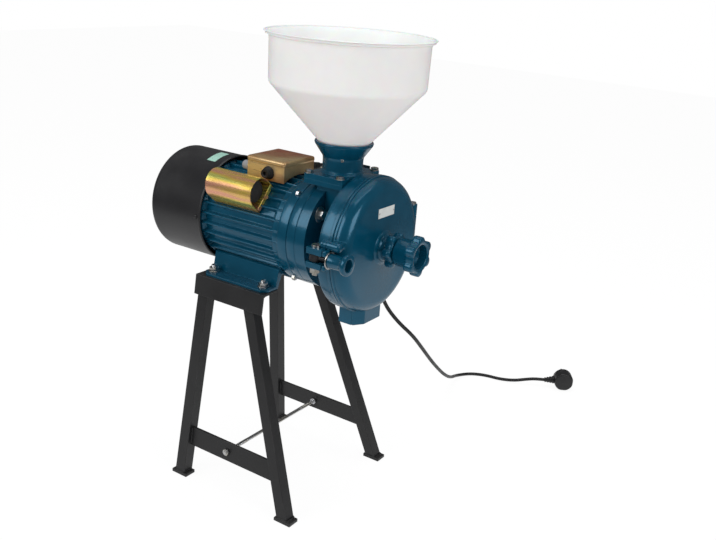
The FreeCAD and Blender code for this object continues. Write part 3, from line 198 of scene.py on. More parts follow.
lead_rubber = coated("lead_rubber", moulded_skin, values={"Color": (0.012, 0.012, 0.013, 1), "Rough": 0.42, "Depth": 0.15})
lead_route = np.array([(36, 64, 502), (36, 96, 497), (44, 130, 470), (62, 152, 425), (84, 154, 380),
                       (101, 148, 338), (112, 146, 300), (126, 148, 268), (148, 158, 241), (165, 182, 214),
                       (163, 224, 176), (156, 276, 132), (146, 330, 92), (133, 385, 56), (119, 440, 26),
                       (106, 492, 7.5), (120, 528, 3.3), (148, 543, 3.3), (180, 547, 3.3), (208, 556, 6),
                       (229, 568, 11.5), (245, 578, 14.3), (261, 586.5, 14.3)]) / 1000
line = bpy.data.curves.new("mains_lead", "CURVE")
line.dimensions = "3D"
spline = line.splines.new("NURBS")
spline.points.add(len(lead_route) - 1)
spline.points.foreach_set("co", np.column_stack([lead_route, np.ones(len(lead_route))]).ravel())
spline.order_u = 3
spline.use_endpoint_u = True
spline.resolution_u = 10
line.bevel_depth = 0.0032
line.bevel_resolution = 5
line.use_fill_caps = True
line.materials.append(lead_rubber)
lead = bpy.data.objects.new("mains_lead", line)
bpy.context.scene.collection.objects.link(lead)
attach(lead, MACHINE)
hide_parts("power_cord")

# The plug is one rubber moulding: a ribbed strain relief, a round body with grip hollows, two bare pins.
# It lies on its side on the floor at the end of the lead.
def skin_mesh(name, patches, material, crease=32.0):
    """One mesh from grids of points; each patch is (points[u, v, 3], wraps in v, closes both ends)."""
    made = bpy.data.meshes.new(name)
    corners = []
    faces = []
    base = 0
    for points, wraps, closes in patches:
        rows, columns = points.shape[:2]
        corners.append(points.reshape(-1, 3))
        index = base + np.arange(rows * columns).reshape(rows, columns)
        nxt = np.roll(index, -1, axis=1) if wraps else index[:, 1:]
        here = index if wraps else index[:, :-1]
        quads = np.stack([here[:-1], nxt[:-1], nxt[1:], here[1:]], axis=-1).reshape(-1, 4)
        faces += quads.tolist()
        if closes:
            faces += [index[0][::-1].tolist(), index[-1].tolist()]
        base += rows * columns
    made.from_pydata(np.concatenate(corners).tolist(), [], faces)
    work = bmesh.new()
    work.from_mesh(made)
    bmesh.ops.remove_doubles(work, verts=work.verts, dist=1e-6)
    bmesh.ops.dissolve_degenerate(work, edges=work.edges, dist=1e-7)
    bmesh.ops.recalc_face_normals(work, faces=work.faces)
    for edge in work.edges:
        edge.smooth = len(edge.link_faces) == 2 and edge.calc_face_angle(0) < math.radians(crease)
    for face in work.faces:
        face.smooth = True
    work.to_mesh(made)
    work.free()
    made.materials.append(material)
    piece = bpy.data.objects.new(name, made)
    bpy.context.scene.collection.objects.link(piece)
    return piece


def fitted(piece, body, slot, *stands_for):
    """Puts a finished piece on its body and hides the solids it stands for; the slot, its finish, is not used."""
    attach(piece, body)
    if stands_for:
        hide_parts(*stands_for)
    return piece


def round_about(start, along, profile, around=64, spread=None):
    """Rings of the profile (distance, radius) round an axis; spread(angle, distance) scales each radius."""
    along = np.asarray(along, float) / np.linalg.norm(along)
    helper = np.array([0.0, 0.0, 1.0]) if abs(along[2]) < 0.9 else np.array([1.0, 0.0, 0.0])
    first = np.cross(helper, along)
    first /= np.linalg.norm(first)
    second = np.cross(along, first)
    profile = np.asarray(profile, float)
    angle = np.linspace(0, 2 * np.pi, around, endpoint=False)
    distance, radius = profile[:, :1], profile[:, 1:2]
    reach = radius * np.ones_like(angle)
    if spread is not None:
        reach = radius * spread(angle[None, :], distance)
    ring = reach[..., None] * (np.cos(angle)[None, :, None] * first + np.sin(angle)[None, :, None] * second)
    return np.asarray(start, float) + distance[..., None] * along + ring


plug_black = coated("plug_moulding", moulded_skin,
                    values={"Color": (0.016, 0.016, 0.017, 1), "Rough": 0.36, "Depth": 0.2, "Edge": 0.0008})
plug_way = lead_route[-1] - lead_route[-2]
plug_way /= np.linalg.norm(plug_way)
neck_s = np.linspace(0, 0.0260, 40)
neck_r = 0.0044 + 0.0050 * (neck_s / 0.0260) ** 1.2 + 0.0004 * np.sign(np.sin(neck_s * 2 * np.pi / 0.0052)) * (neck_s < 0.021)
head_way = np.array([-0.54, 0.8417, 0.0])
head_back = lead_route[-1] + plug_way * 0.0370 + [0, 0, 0.0052] - head_way * 0.0164
head_line = ([(0, 0.0001), (0, 0.0120), (0.0006, 0.0150)] + [(0.0045 - 0.0042 * math.cos(t), 0.0150 + 0.0040 * math.sin(t))
             for t in np.linspace(0.3, 1.57, 6)] + [(0.0160, 0.0193), (0.0165, 0.0188), (0.0172, 0.0193), (0.0245, 0.0193),
             (0.0258, 0.0188), (0.0264, 0.0176), (0.0264, 0.0001)])
grip = lambda a, s: 1 - 0.045 * np.cos(a * 2) ** 6 * (s < 0.016)
plug = skin_mesh("mains_plug", [(round_about(lead_route[-1], plug_way + [0, 0, 0.13], np.column_stack([neck_s, neck_r]), 32), True, True),
                                (round_about(head_back, head_way, head_line, 80, grip), True, True)], plug_black)
fitted(plug, MACHINE, "plug_black", "power_plug")


def metal_skin():
    """Group for plated and bare metal: two tones in a cloud, drawn streaks and rounded edges."""
    made = bpy.data.node_groups.new("plated_skin", "ShaderNodeTree")
    face = made.interface
    for name, kind, value in (("Color", "NodeSocketColor", (0.7, 0.7, 0.7, 1)), ("Other", "NodeSocketColor", (0.5, 0.5, 0.5, 1)),
                              ("Cloud", "NodeSocketFloat", 60.0), ("Rough", "NodeSocketFloat", 0.3),
                              ("Streak", "NodeSocketFloat", 0.1), ("Edge", "NodeSocketFloat", 0.0004)):
        face.new_socket(name, in_out="INPUT", socket_type=kind).default_value = value
    for name, kind in (("Color", "NodeSocketColor"), ("Roughness", "NodeSocketFloat"), ("Normal", "NodeSocketVector")):
        face.new_socket(name, in_out="OUTPUT", socket_type=kind)
    start = made.nodes.new("NodeGroupInput").outputs
    place = made.nodes.new("ShaderNodeTexCoord").outputs["Object"]
    slow = wire(made, "ShaderNodeTexNoise", Vector=place, Scale=start["Cloud"], Detail=4.0)
    blend = wire(made, "ShaderNodeMapRange", Value=slow.outputs[0], From_Min=0.36, From_Max=0.64)
    shade = wire(made, "ShaderNodeMix", {"data_type": "RGBA"}, _0=blend.outputs[0], _6=start["Color"], _7=start["Other"])
    drawn = wire(made, "ShaderNodeMapping", Vector=place, Scale=(40.0, 900.0, 900.0))
    fine = wire(made, "ShaderNodeTexNoise", Vector=drawn.outputs[0], Scale=1.0, Detail=2.0)
    rub = wire(made, "ShaderNodeMapRange", Value=fine.outputs[0], From_Min=0.3, From_Max=0.7, To_Min=-0.07, To_Max=0.07)
    rough = wire(made, "ShaderNodeMath", {"operation": "ADD"}, _0=start["Rough"], _1=rub.outputs[0])
    soft = wire(made, "ShaderNodeBevel", {"samples": 3}, Radius=start["Edge"])
    bump = wire(made, "ShaderNodeBump", Strength=start["Streak"], Distance=0.0002, Height=fine.outputs[0], Normal=soft.outputs[0])
    end = made.nodes.new("NodeGroupOutput")
    made.links.new(shade.outputs[2], end.inputs["Color"])
    made.links.new(rough.outputs[0], end.inputs["Roughness"])
    made.links.new(bump.outputs[0], end.inputs["Normal"])
    return made


plated_skin = metal_skin()
pin_metal = coated("pin_nickel", plated_skin, metal=1.0,
                   values={"Color": (0.72, 0.72, 0.70, 1), "Other": (0.6, 0.6, 0.6, 1), "Rough": 0.22})
sideways = np.array([0.0, 0.0, 1.0])
pin_line = [(-0.001, 0.0001), (-0.001, 0.0022), (0.0158, 0.0022), (0.0172, 0.0019), (0.018, 0.0012), (0.0182, 0.0001)]
pins = [(round_about(head_back + head_way * 0.0264 + sideways * 0.0095 * s, head_way, pin_line, 24), True, True)
        for s in (-1, 1)]
plug_pins = skin_mesh("plug_pins", pins, pin_metal)
fitted(plug_pins, MACHINE, "zinc")

# The stand is welded from square tube, angle and flat bar, and powder coated satin black.
# The coat is slightly pebbled and thin on the sharp edges; faces that look up are mixed towards light grey, partly dust
# and partly a painted top highlight.
def paint_skin():
    """Group for painted metal: cloudy tone, orange peel, dust and a painted top highlight on upward faces, and thin
    paint on edges.
    """
    made = bpy.data.node_groups.new("painted_skin", "ShaderNodeTree")
    face = made.interface
    for name, kind, value in (("Color", "NodeSocketColor", (0.1, 0.1, 0.1, 1)), ("Worn", "NodeSocketColor", (0.2, 0.2, 0.2, 1)),
                              ("Wear", "NodeSocketFloat", 0.3), ("DustAndSheen", "NodeSocketFloat", 0.05),
                              ("Rough", "NodeSocketFloat", 0.3), ("Peel", "NodeSocketFloat", 0.1),
                              ("Pebble", "NodeSocketFloat", 400.0), ("Edge", "NodeSocketFloat", 0.001)):
        face.new_socket(name, in_out="INPUT", socket_type=kind).default_value = value
    for name, kind in (("Color", "NodeSocketColor"), ("Roughness", "NodeSocketFloat"), ("Normal", "NodeSocketVector")):
        face.new_socket(name, in_out="OUTPUT", socket_type=kind)
    start = made.nodes.new("NodeGroupInput").outputs
    place = made.nodes.new("ShaderNodeTexCoord").outputs["Object"]
    flat = made.nodes.new("ShaderNodeNewGeometry").outputs["Normal"]
    slow = wire(made, "ShaderNodeTexNoise", Vector=place, Scale=22.0, Detail=4.0)
    fine = wire(made, "ShaderNodeTexNoise", Vector=place, Scale=start["Pebble"], Detail=2.0)
    soft = wire(made, "ShaderNodeBevel", {"samples": 4}, Radius=start["Edge"])
    meet = wire(made, "ShaderNodeVectorMath", {"operation": "DOT_PRODUCT"}, _0=soft.outputs[0], _1=flat)
    edge = wire(made, "ShaderNodeMapRange", Value=meet.outputs["Value"], From_Min=0.995, From_Max=0.88)
    patch = wire(made, "ShaderNodeMapRange", Value=slow.outputs[0], From_Min=0.42, From_Max=0.66)
    worn = wire(made, "ShaderNodeMath", {"operation": "MULTIPLY"}, _0=edge.outputs[0], _1=patch.outputs[0])
    worn = wire(made, "ShaderNodeMath", {"operation": "MULTIPLY"}, _0=worn.outputs[0], _1=start["Wear"])
    tone = wire(made, "ShaderNodeMapRange", Value=slow.outputs[0], From_Min=0.3, From_Max=0.7, To_Min=0.86, To_Max=1.14)
    tinted = wire(made, "ShaderNodeVectorMath", {"operation": "SCALE"}, _0=start["Color"], Scale=tone.outputs[0])
    rubbed = wire(made, "ShaderNodeMix", {"data_type": "RGBA"}, _0=worn.outputs[0], _6=tinted.outputs[0], _7=start["Worn"])
    # Upward faces are mixed towards light grey and made rougher: partly dust, partly a painted top highlight.
    rise = wire(made, "ShaderNodeSeparateXYZ", _0=flat)
    up = wire(made, "ShaderNodeMapRange", Value=rise.outputs[2], From_Min=0.4, From_Max=1.0)
    dust_and_top_sheen = wire(made, "ShaderNodeMath", {"operation": "MULTIPLY"}, _0=up.outputs[0], _1=patch.outputs[0])
    dust_and_top_sheen = wire(made, "ShaderNodeMath", {"operation": "MULTIPLY"}, _0=dust_and_top_sheen.outputs[0], _1=start["DustAndSheen"])
    shade = wire(made, "ShaderNodeMix", {"data_type": "RGBA"}, _0=dust_and_top_sheen.outputs[0], _6=rubbed.outputs[2],
                 _7=(0.45, 0.43, 0.4, 1))
    matt = wire(made, "ShaderNodeMath", {"operation": "MULTIPLY"}, _0=dust_and_top_sheen.outputs[0], _1=2.0)
    rub = wire(made, "ShaderNodeMapRange", Value=slow.outputs[0], From_Min=0.3, From_Max=0.7, To_Min=-0.04, To_Max=0.05)
    rough = wire(made, "ShaderNodeMath", {"operation": "ADD"}, _0=start["Rough"], _1=rub.outputs[0])
    rough = wire(made, "ShaderNodeMath", {"operation": "ADD", "use_clamp": True}, _0=rough.outputs[0], _1=matt.outputs[0])
    bump = wire(made, "ShaderNodeBump", Strength=start["Peel"], Distance=0.0004, Height=fine.outputs[0], Normal=soft.outputs[0])
    end = made.nodes.new("NodeGroupOutput")
    made.links.new(shade.outputs[2], end.inputs["Color"])
    made.links.new(rough.outputs[0], end.inputs["Roughness"])
    made.links.new(bump.outputs[0], end.inputs["Normal"])
    return made


painted_skin = paint_skin()
stand_coat = coated("stand_powder_coat", painted_skin, shine=0.4,
                    values={"Color": (0.017, 0.017, 0.018, 1), "Worn": (0.10, 0.10, 0.10, 1), "Wear": 0.5, "DustAndSheen": 0.05,
                            "Rough": 0.4, "Peel": 0.35, "Pebble": 1100.0, "Edge": 0.0016})


def dress(material, names):
    """Gives a finish to solids that stay as they are."""
    for name in names.split():
        solid = nodes[name]
        solid.data.materials.clear()
        solid.data.materials.append(material)


dress(stand_coat, "rail_near rail_far leg_near_rear leg_near_front leg_far_rear leg_far_front "
      "crossbar_near crossbar_far")

# Short weld beads close the joints of the bars, pads and tubes: rippled seams under the black coat.
# Each follows the edge where the two pieces meet, a few millimetres wide.
def bead(start, end, radius=0.0017, steps=40):
    """A tube along a straight seam whose radius ripples as a weld does and dies away at both ends."""
    start, end = np.asarray(start, float), np.asarray(end, float)
    run = np.linspace(0, 1, steps)
    length = np.linalg.norm(end - start)
    swell = radius * (0.82 + 0.18 * np.abs(np.sin(run * length * np.pi / 0.0032))) * np.minimum(1, np.minimum(run, 1 - run) * 9 + 0.15)
    return round_about(start, end - start, np.column_stack([run * length, swell]), 12)


SPLAY = math.tan(math.radians(6.85))
LEG_FEET = {"rear": (-0.068, -0.0557), "front": (0.144, 0.025)}


def tube_middle(z):
    """Distance of a leg's middle from the centre plane at a height."""
    return 0.08175 + (0.3355 - z) * SPLAY


def tube_place(end, z):
    """Place of a leg along the machine at a height."""
    foot, head = LEG_FEET[end]
    return foot + (head - foot) * z / 0.3315


seams = []
for side in (-1, 1):
    for end, inward in (("rear", 1), ("front", -1)):
        low, high = 0.054, 0.082
        for face in (-1, 1):
            seams.append((bead(*[(tube_place(end, z) + inward * 0.00975, side * tube_middle(z) + face * 0.0026, z)
                                 for z in (low, high)]), True, True))
        x, y = LEG_FEET[end][0], side * tube_middle(0.005)
        for a, b in (((-1, -1), (1, -1)), ((1, -1), (1, 1)), ((1, 1), (-1, 1)), ((-1, 1), (-1, -1))):
            seams.append((bead((x + 0.0092 * a[0], y + 0.0092 * a[1], 0.0056), (x + 0.0092 * b[0], y + 0.0092 * b[1], 0.0056),
                               0.0013), True, True))
fitted(skin_mesh("stand_weld_beads", seams, stand_coat), MACHINE, "stand_black")

# Zinc-plated hexagon bolts hold the motor, the mill flange and the feed throat; a plated rod ties the sides.
# The plating is silver with a faint blue and yellow cloud; heads are chamfered by turning.
zinc = coated("zinc_plating", plated_skin, metal=1.0,
              values={"Color": (0.66, 0.67, 0.70, 1), "Other": (0.55, 0.53, 0.47, 1), "Cloud": 90.0, "Rough": 0.3,
                      "Streak": 0.15, "Edge": 0.0004})


def hex_block(start, along, flats, high):
    """A hexagon prism whose far face is turned to a cone of 30 degrees, so its corners drop in arcs."""
    angle = np.linspace(0, 2 * np.pi, 48, endpoint=False)
    corner = flats / 2 / np.cos((angle % (np.pi / 3)) - np.pi / 6)
    flat = flats / 2 * 0.94
    drop = (corner - flat) * math.tan(math.radians(30))
    rows = [(0 * angle, corner), (high - drop, corner), (high + 0 * angle, flat + 0 * angle),
            (high - 0.0003 + 0 * angle, 0.55 * flat + 0 * angle), (high - 0.0003 + 0 * angle, 0.0001 + 0 * angle)]
    along = np.asarray(along, float)
    helper = np.array([0.0, 0.0, 1.0]) if abs(along[2]) < 0.9 else np.array([1.0, 0.0, 0.0])
    first = np.cross(helper, along)
    first /= np.linalg.norm(first)
    second = np.cross(along, first)
    height = np.array([r[0] for r in rows])[..., None]
    reach = np.array([r[1] for r in rows])[..., None]
    around = np.cos(angle)[None, :, None] * first + np.sin(angle)[None, :, None] * second
    return np.asarray(start, float) + height * along + reach * around


def washer(start, along, radius, thick):
    """A flat ring with small rounded rims."""
    rim = thick * 0.3
    return round_about(start, along, [(0, 0.0001), (0, radius - rim), (rim, radius), (thick - rim, radius),
                                      (thick, radius - rim), (thick, 0.0001)], 48)


def thread(start, along, radius, length, pitch=0.00125):
    """A screwed end: the radius swings once for each pitch."""
    run = np.linspace(0, length, int(length / pitch * 4) + 1)
    wave = radius - 0.0004 * (0.5 + 0.5 * np.cos(run / pitch * 2 * np.pi))
    wave[-1] = radius - 0.0009
    return round_about(start, along, np.column_stack([run, wave]), 32)


UP, DOWN, FORE = (0, 0, 1), (0, 0, -1), (1, 0, 0)
for side, sy in (("near", -1), ("far", 1)):
    for end, sx in (("rear", -1), ("front", 1)):
        x, y = -0.0035 + 0.049 * sx, 0.0745 * sy
        seat = 0.3395
        bolt = [(washer((x, y, seat), UP, 0.0085, 0.0016), True, True),
                (hex_block((x, y, seat + 0.0016), UP, 0.013, 0.0053), True, True),
                (thread((x, y, seat + 0.0065), UP, 0.004, 0.0044), True, True),
                (hex_block((x, y, 0.3315), DOWN, 0.013, 0.0065), True, True),
                (thread((x, y, 0.3250), DOWN, 0.004, 0.003), True, True)]
        fitted(skin_mesh("motor_bolt_%s_%s" % (side, end), bolt, zinc), MACHINE, "zinc", "foot_bolt_%s_%s" % (side, end))
number = 0
for sy in (-1, 1):
    for sz in (-1, 1):
        number += 1
        y = 0.059 * math.sin(math.radians(48)) * sy
        z = AXIS + 0.059 * math.cos(math.radians(48)) * sz
        bolt = [(washer((0.1115, y, z), FORE, 0.0078, 0.0012), True, True),
                (hex_block((0.1127, y, z), FORE, 0.013, 0.0053), True, True)]
        fitted(skin_mesh("mill_flange_bolt_%d" % number, bolt, zinc), MACHINE, "zinc", "flange_bolt_%d" % number)
for sx, end in ((-1, "rear"), (1, "front")):
    for sy, side in ((-1, "near"), (1, "far")):
        x, y = 0.1235 + 0.027 * sx, 0.044 * sy
        bolt = [(washer((x, y, AXIS + 0.0965), UP, 0.0062, 0.0008), True, True),
                (hex_block((x, y, AXIS + 0.0973), UP, 0.01, 0.0036), True, True),
                (thread((x, y, AXIS + 0.0845), DOWN, 0.003, 0.003, 0.001), True, True)]
        fitted(skin_mesh("throat_screw_%s_%s" % (side, end), bolt, zinc), MACHINE, "zinc", "throat_bolt_%s_%s" % (side, end))
reach = tube_middle(0.068)
tie = [(round_about((0.019, -reach - 0.008, 0.068), (0, 1, 0), [(0, 0.00285), (2 * reach + 0.016, 0.00285)], 32), True, True)]
for s in (-1, 1):
    tie.append((thread((0.019, s * (reach - 0.045), 0.068), (0, s, 0), 0.003, 0.0532, 0.001), True, True))
    for inner in (-1, 1):
        start = s * reach + inner * s * 0.0027
        tie.append((hex_block((0.019, start, 0.068), (0, inner * s, 0), 0.01, 0.004), True, True))
fitted(skin_mesh("stand_tie_rod", tie, zinc), MACHINE, "zinc", "tie_rod")

# The mill and motor castings wear one gloss teal enamel, sprayed thick over sandblasted iron.
# It pools smooth on the flats, shows a slight orange peel, and is thin and paler on sharp edges.
TEAL = (0.001, 0.056, 0.104, 1)
TEAL_WORN = (0.008, 0.10, 0.165, 1)
enamel = coated("teal_enamel", painted_skin, coat=0.3, coat_rough=0.07, shine=0.75,
                values={"Color": TEAL, "Worn": TEAL_WORN, "Wear": 0.8, "DustAndSheen": 0.02, "Rough": 0.22,
                        "Peel": 0.3, "Pebble": 260.0, "Edge": 0.0012}, Specular_Tint=(0.22, 0.66, 1.0, 1))
dress(enamel, "motor_foot end_shield_rear end_shield_front motor_frame")

# The motor frame is an extruded aluminium shell with long rounded ribs, machined flat under its box and covers.
# The ribs fade into a plain ring at each end, where the end shields are bolted on.
across = np.linspace(0, 2 * np.pi, 1080, endpoint=False)
along = np.concatenate([[-0.082], np.linspace(-0.081, -0.072, 8), np.linspace(-0.066, 0.050, 24), np.linspace(0.052, 0.066, 12),
                        [0.0695, 0.07]])
pitch = 2 * np.pi / 30
beat = np.abs(((across + pitch / 2) % pitch) - pitch / 2) * 0.0735
rib = 1 / (1 + np.exp((beat - 0.0021) / 0.00045))
band = np.clip((along - 0.0545) / 0.005, 0, 1) + np.clip((-0.0745 - along) / 0.004, 0, 1)
band = band * band * (3 - 2 * band)
height = np.maximum(rib[None, :], 0.82 * np.clip(band, 0, 1)[:, None])
radius = 0.0702 + 0.0068 * height
for seat in (-50, 50):
    off = ((across - math.radians(seat) + np.pi) % (2 * np.pi)) - np.pi
    flat = 0.0703 / np.maximum(np.cos(off), 0.3)
    here = (np.abs(np.tan(off)) * 0.0703 < 0.0262) & (np.abs(off) < 1)
    span = (along > -0.0625) & (along < 0.0295)
    radius = np.where(here[None, :] & span[:, None], np.minimum(radius, flat[None, :]), radius)
radius[0] = radius[-1] = 0.0765
shell = np.stack([along[:, None] * np.ones_like(radius), -radius * np.sin(across)[None, :],
                  AXIS + radius * np.cos(across)[None, :]], axis=-1)
lip = np.stack([np.full((2, 1080), 0.0), -np.sin(across) * np.array([[0.0765], [0.0625]]),
                AXIS + np.cos(across) * np.array([[0.0765], [0.0625]])], axis=-1)
front_lip, rear_lip = lip.copy(), lip.copy()
front_lip[..., 0] = 0.07
rear_lip[..., 0] = -0.082
frame_shell = skin_mesh("ribbed_motor_frame", [(np.concatenate([rear_lip[::-1], shell[1:-1], front_lip]), True, False)],
                        enamel, 40)
fitted(frame_shell, MACHINE, "mill_blue", "motor_frame")

# The front end shield is a turned casting: a plain ring, a stepped shoulder and a groove against the frame.
# Three long screws with plated heads stand in its rim.
def arc(x, r, radius, start, end, steps=7):
    """Points (distance, radius) of a rounded corner: a circle about (x, r) from start to end degrees."""
    t = np.radians(np.linspace(start, end, steps))
    return list(zip(x + radius * np.cos(t), r + radius * np.sin(t)))


ring = ([(0.0702, 0.064), (0.0702, 0.0775)] + arc(0.0722, 0.0778, 0.002, 180, 90) + [(0.0865, 0.0798)]
        + arc(0.0865, 0.0788, 0.001, 90, 0, 4) + [(0.0877, 0.0782), (0.0883, 0.0782)] + arc(0.0893, 0.079, 0.001, 180, 90, 4)
        + [(0.1015, 0.08)] + arc(0.1015, 0.0782, 0.0018, 90, 0) + [(0.1034, 0.077), (0.1034, 0.03)])
shield = skin_mesh("front_end_shield", [(round_about((0, 0, AXIS), (1, 0, 0), ring, 160), True, False)], enamel)
fitted(shield, MACHINE, "mill_blue", "end_shield_front")
screws = []
for degrees in (38, 142, 218, 322):
    a = math.radians(degrees)
    spot = (0.0895, -0.0775 * math.sin(a), AXIS + 0.0775 * math.cos(a))
    screws.append((hex_block((0.0865, -0.0808 * math.sin(a), AXIS + 0.0808 * math.cos(a)), (-1, 0, 0), 0.008, 0.005), True, True))
fitted(skin_mesh("shield_screws", screws, zinc), MACHINE, "zinc")

# The mill housing is one iron casting; its solid keeps the pockets, throat pad, lugs and spout.
# Over it lies the turned drum wall with its raised rim at the parting line.
dress(enamel, "mill_housing throat_collar")
wall = ([(0.1583, 0.046), (0.1583, 0.0965)] + arc(0.1605, 0.0973, 0.0024, 180, 90) + [(0.1745, 0.0998)]
        + arc(0.1758, 0.1002, 0.0008, 240, 120, 5) + [(0.1795, 0.1010)] + arc(0.1795, 0.1002, 0.0009, 90, 0, 4)
        + [(0.1806, 0.0995), (0.1806, 0.0925)])
drum = skin_mesh("drum_wall", [(round_about((0, 0, AXIS), (1, 0, 0), wall, 200), True, False)], enamel)
fitted(drum, MACHINE, "mill_blue")

# The front cover is a dished iron casting that swings on the far side: rim, domed shoulder, flat face and boss.
# The ear, the guard bar over the hand nut, the hinge knuckle and the front half of the spout are cast on.
def soft_block(low, high, radius, rows=26, columns=52, squeeze=None):
    """A box with rounded edges: the sphere's points of that radius are pushed out to the eight corners."""
    low, high = np.asarray(low, float), np.asarray(high, float)
    middle, half = (low + high) / 2, (high - low) / 2
    polar = np.pi * (np.arange(rows) + 0.5) / rows
    turn = 2 * np.pi * (np.arange(columns) + 0.5) / columns
    ball = np.stack([np.sin(polar)[:, None] * np.cos(turn), np.sin(polar)[:, None] * np.sin(turn),
                     np.cos(polar)[:, None] * np.ones_like(turn)], axis=-1)
    points = middle + np.sign(ball) * (half - radius) + ball * radius
    return points if squeeze is None else squeeze(points)


face = 0.1809
dish = ([(face, 0.089), (face, 0.0992)] + arc(0.1818, 0.1001, 0.0009, 180, 90, 4) + [(0.1842, 0.1010)]
        + arc(0.1842, 0.1002, 0.0008, 90, 10, 4) + [(0.1853, 0.0994)]
        + arc(0.1852, 0.0813, 0.0179, 90, 0, 18) + [(0.2031, 0.076), (0.2031, 0.0262)]
        + arc(0.2055, 0.0262, 0.0024, 180, 250, 5) + [(0.2062, 0.0205)]
        + arc(0.2062, 0.0185, 0.0012, 100, 20, 4) + [(0.2088, 0.0176), (0.2140, 0.0170)]
        + arc(0.2140, 0.0160, 0.0010, 90, 0, 4) + [(0.2150, 0.0082)])
inner_dish = [(face, 0.0912), (0.184, 0.0905), (0.197, 0.077), (0.198, 0.070), (0.198, 0.0082)]
cover_parts = [(round_about((0, 0, AXIS), (1, 0, 0), dish, 200), True, False),
               (round_about((0, 0, AXIS), (1, 0, 0), inner_dish, 120), True, False)]
ear_z = AXIS + 0.0025
slit = 0.006
for low_z, high_z in ((ear_z - 0.014, ear_z - slit), (ear_z + slit, ear_z + 0.0145)):
    cover_parts.append((soft_block((face, -0.121, low_z), (face + 0.006, -0.088, high_z), 0.002), True, True))
cover_parts.append((soft_block((face, -0.1045, ear_z - 0.014), (face + 0.006, -0.088, ear_z + 0.0145), 0.002), True, True))
bar = [(0, 0.0066), (0.0170, 0.0066)] + arc(0.0170, 0.0026, 0.0040, 90, 0, 6) + [(0.0210, 0.0003)]
cover_parts.append((round_about((face, -0.106, ear_z + 0.019), (1, 0, 0), bar, 40), True, True))
cover_parts.append((soft_block((face, -0.107, ear_z + 0.0135), (face + 0.0175, -0.086, ear_z + 0.0245), 0.003), True, True))
cover_shell = skin_mesh("front_cover_casting", cover_parts, enamel)
fitted(cover_shell, "cover", "mill_blue")
low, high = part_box("front_cover")
third = 0.051 / 3
knuckle_low = AXIS - 0.011 + third + 0.0002
knuckle_high = AXIS + 0.04 - third - 0.0002
barrel = [(0, 0.0041), (0, 0.0070), (0.001, 0.008), (knuckle_high - knuckle_low - 0.001, 0.008),
          (knuckle_high - knuckle_low, 0.0070), (knuckle_high - knuckle_low, 0.0041)]
hinge_parts = [(round_about((0.182, 0.109, knuckle_low), UP, barrel, 48), True, False),
               (soft_block((face, 0.086, knuckle_low), (0.1935, 0.1035, knuckle_high), 0.002), True, True)]
outline = np.array([(face, -0.036), (face + 0.0025, -0.036), (0.1917, -0.0235), (0.1935, -0.0205), (0.1935, 0.0205),
                    (0.1917, 0.0235), (face + 0.0025, 0.036), (face, 0.036)])
inset = np.array([(face, -0.032), (face + 0.0012, -0.032), (0.1882, -0.0205), (0.1897, -0.018), (0.1897, 0.018),
                  (0.1882, 0.0205), (face + 0.0012, 0.032), (face, 0.032)])
levels = [(outline, AXIS - 0.085), (outline, AXIS - 0.1155), ((outline * 0.7 + inset * 0.3), AXIS - 0.1165),
          ((outline * 0.3 + inset * 0.7), AXIS - 0.1165), (inset, AXIS - 0.1155), (inset, AXIS - 0.085)]
mouth = np.array([np.column_stack([shape, np.full(len(shape), z)]) for shape, z in levels])
hinge_parts.append((mouth, False, False))
fitted(skin_mesh("cover_spout_and_hinge", hinge_parts, enamel, 25), "cover", "mill_blue", "front_cover")

# The fan cover is a spun steel cup in satin black, slipped over the rear end of the frame and held by screws.
# Its solid keeps the air grille in the back; the turned skin gives the rolled rim and the round shoulder.
# The group's upward-face mix lightens its top: a little dust and a painted top highlight.
cup_black = coated("cup_black", painted_skin, shine=0.45,
                   values={"Color": (0.017, 0.017, 0.019, 1), "Worn": (0.06, 0.06, 0.06, 1), "Wear": 0.3, "DustAndSheen": 0.02,
                           "Rough": 0.36, "Peel": 0.12, "Pebble": 900.0, "Edge": 0.002})
dress(cup_black, "fan_cover")
cup = ([(-0.1838, 0.0610), (-0.1840, 0.0660), (-0.1840, 0.0715)] + arc(-0.1717, 0.0714, 0.0123, 180, 90, 16)
       + [(-0.080, 0.0838)] + arc(-0.0772, 0.0840, 0.0006, 120, 60, 4) + [(-0.0756, 0.0839)]
       + arc(-0.0756, 0.0831, 0.0008, 80, -60, 5) + [(-0.0756, 0.0818)])
cup_skin = skin_mesh("fan_cover_skin", [(round_about((0, 0, AXIS), (1, 0, 0), cup, 200), True, False)], cup_black)
fitted(cup_skin, MACHINE, "cover_black")
cup_screws = []
for degrees in (90, 210, 330):
    a = math.radians(degrees)
    out = np.array([0, -math.sin(a), math.cos(a)])
    dome = [(-0.0012, 0.0032), (0.0006, 0.0032), (0.0013, 0.0029), (0.0018, 0.0022), (0.0020, 0.0012), (0.0020, 0.0001)]
    cup_screws.append((round_about(np.array([-0.084, 0, AXIS]) + out * 0.0838, out, dome, 24), True, True))
fitted(skin_mesh("fan_cover_screws", cup_screws, cup_black), MACHINE, "cover_black")
paper_green = coated("bare_sticker", moulded_skin, values={"Color": (0.36, 0.62, 0.52, 1), "Rough": 0.4, "Depth": 0.05})
patch_x, patch_a = np.meshgrid(np.linspace(-0.108, -0.091, 12), np.radians(np.linspace(1, 24, 30)), indexing="ij")
patch = np.stack([patch_x, -0.0841 * np.sin(patch_a), AXIS + 0.0841 * np.cos(patch_a)], axis=-1)
sticker = skin_mesh("bare_sticker", [(patch, False, False)], paper_green)
solid = sticker.modifiers.new("paper", "SOLIDIFY")
solid.thickness = 0.00015
fitted(sticker, MACHINE, "label_white")

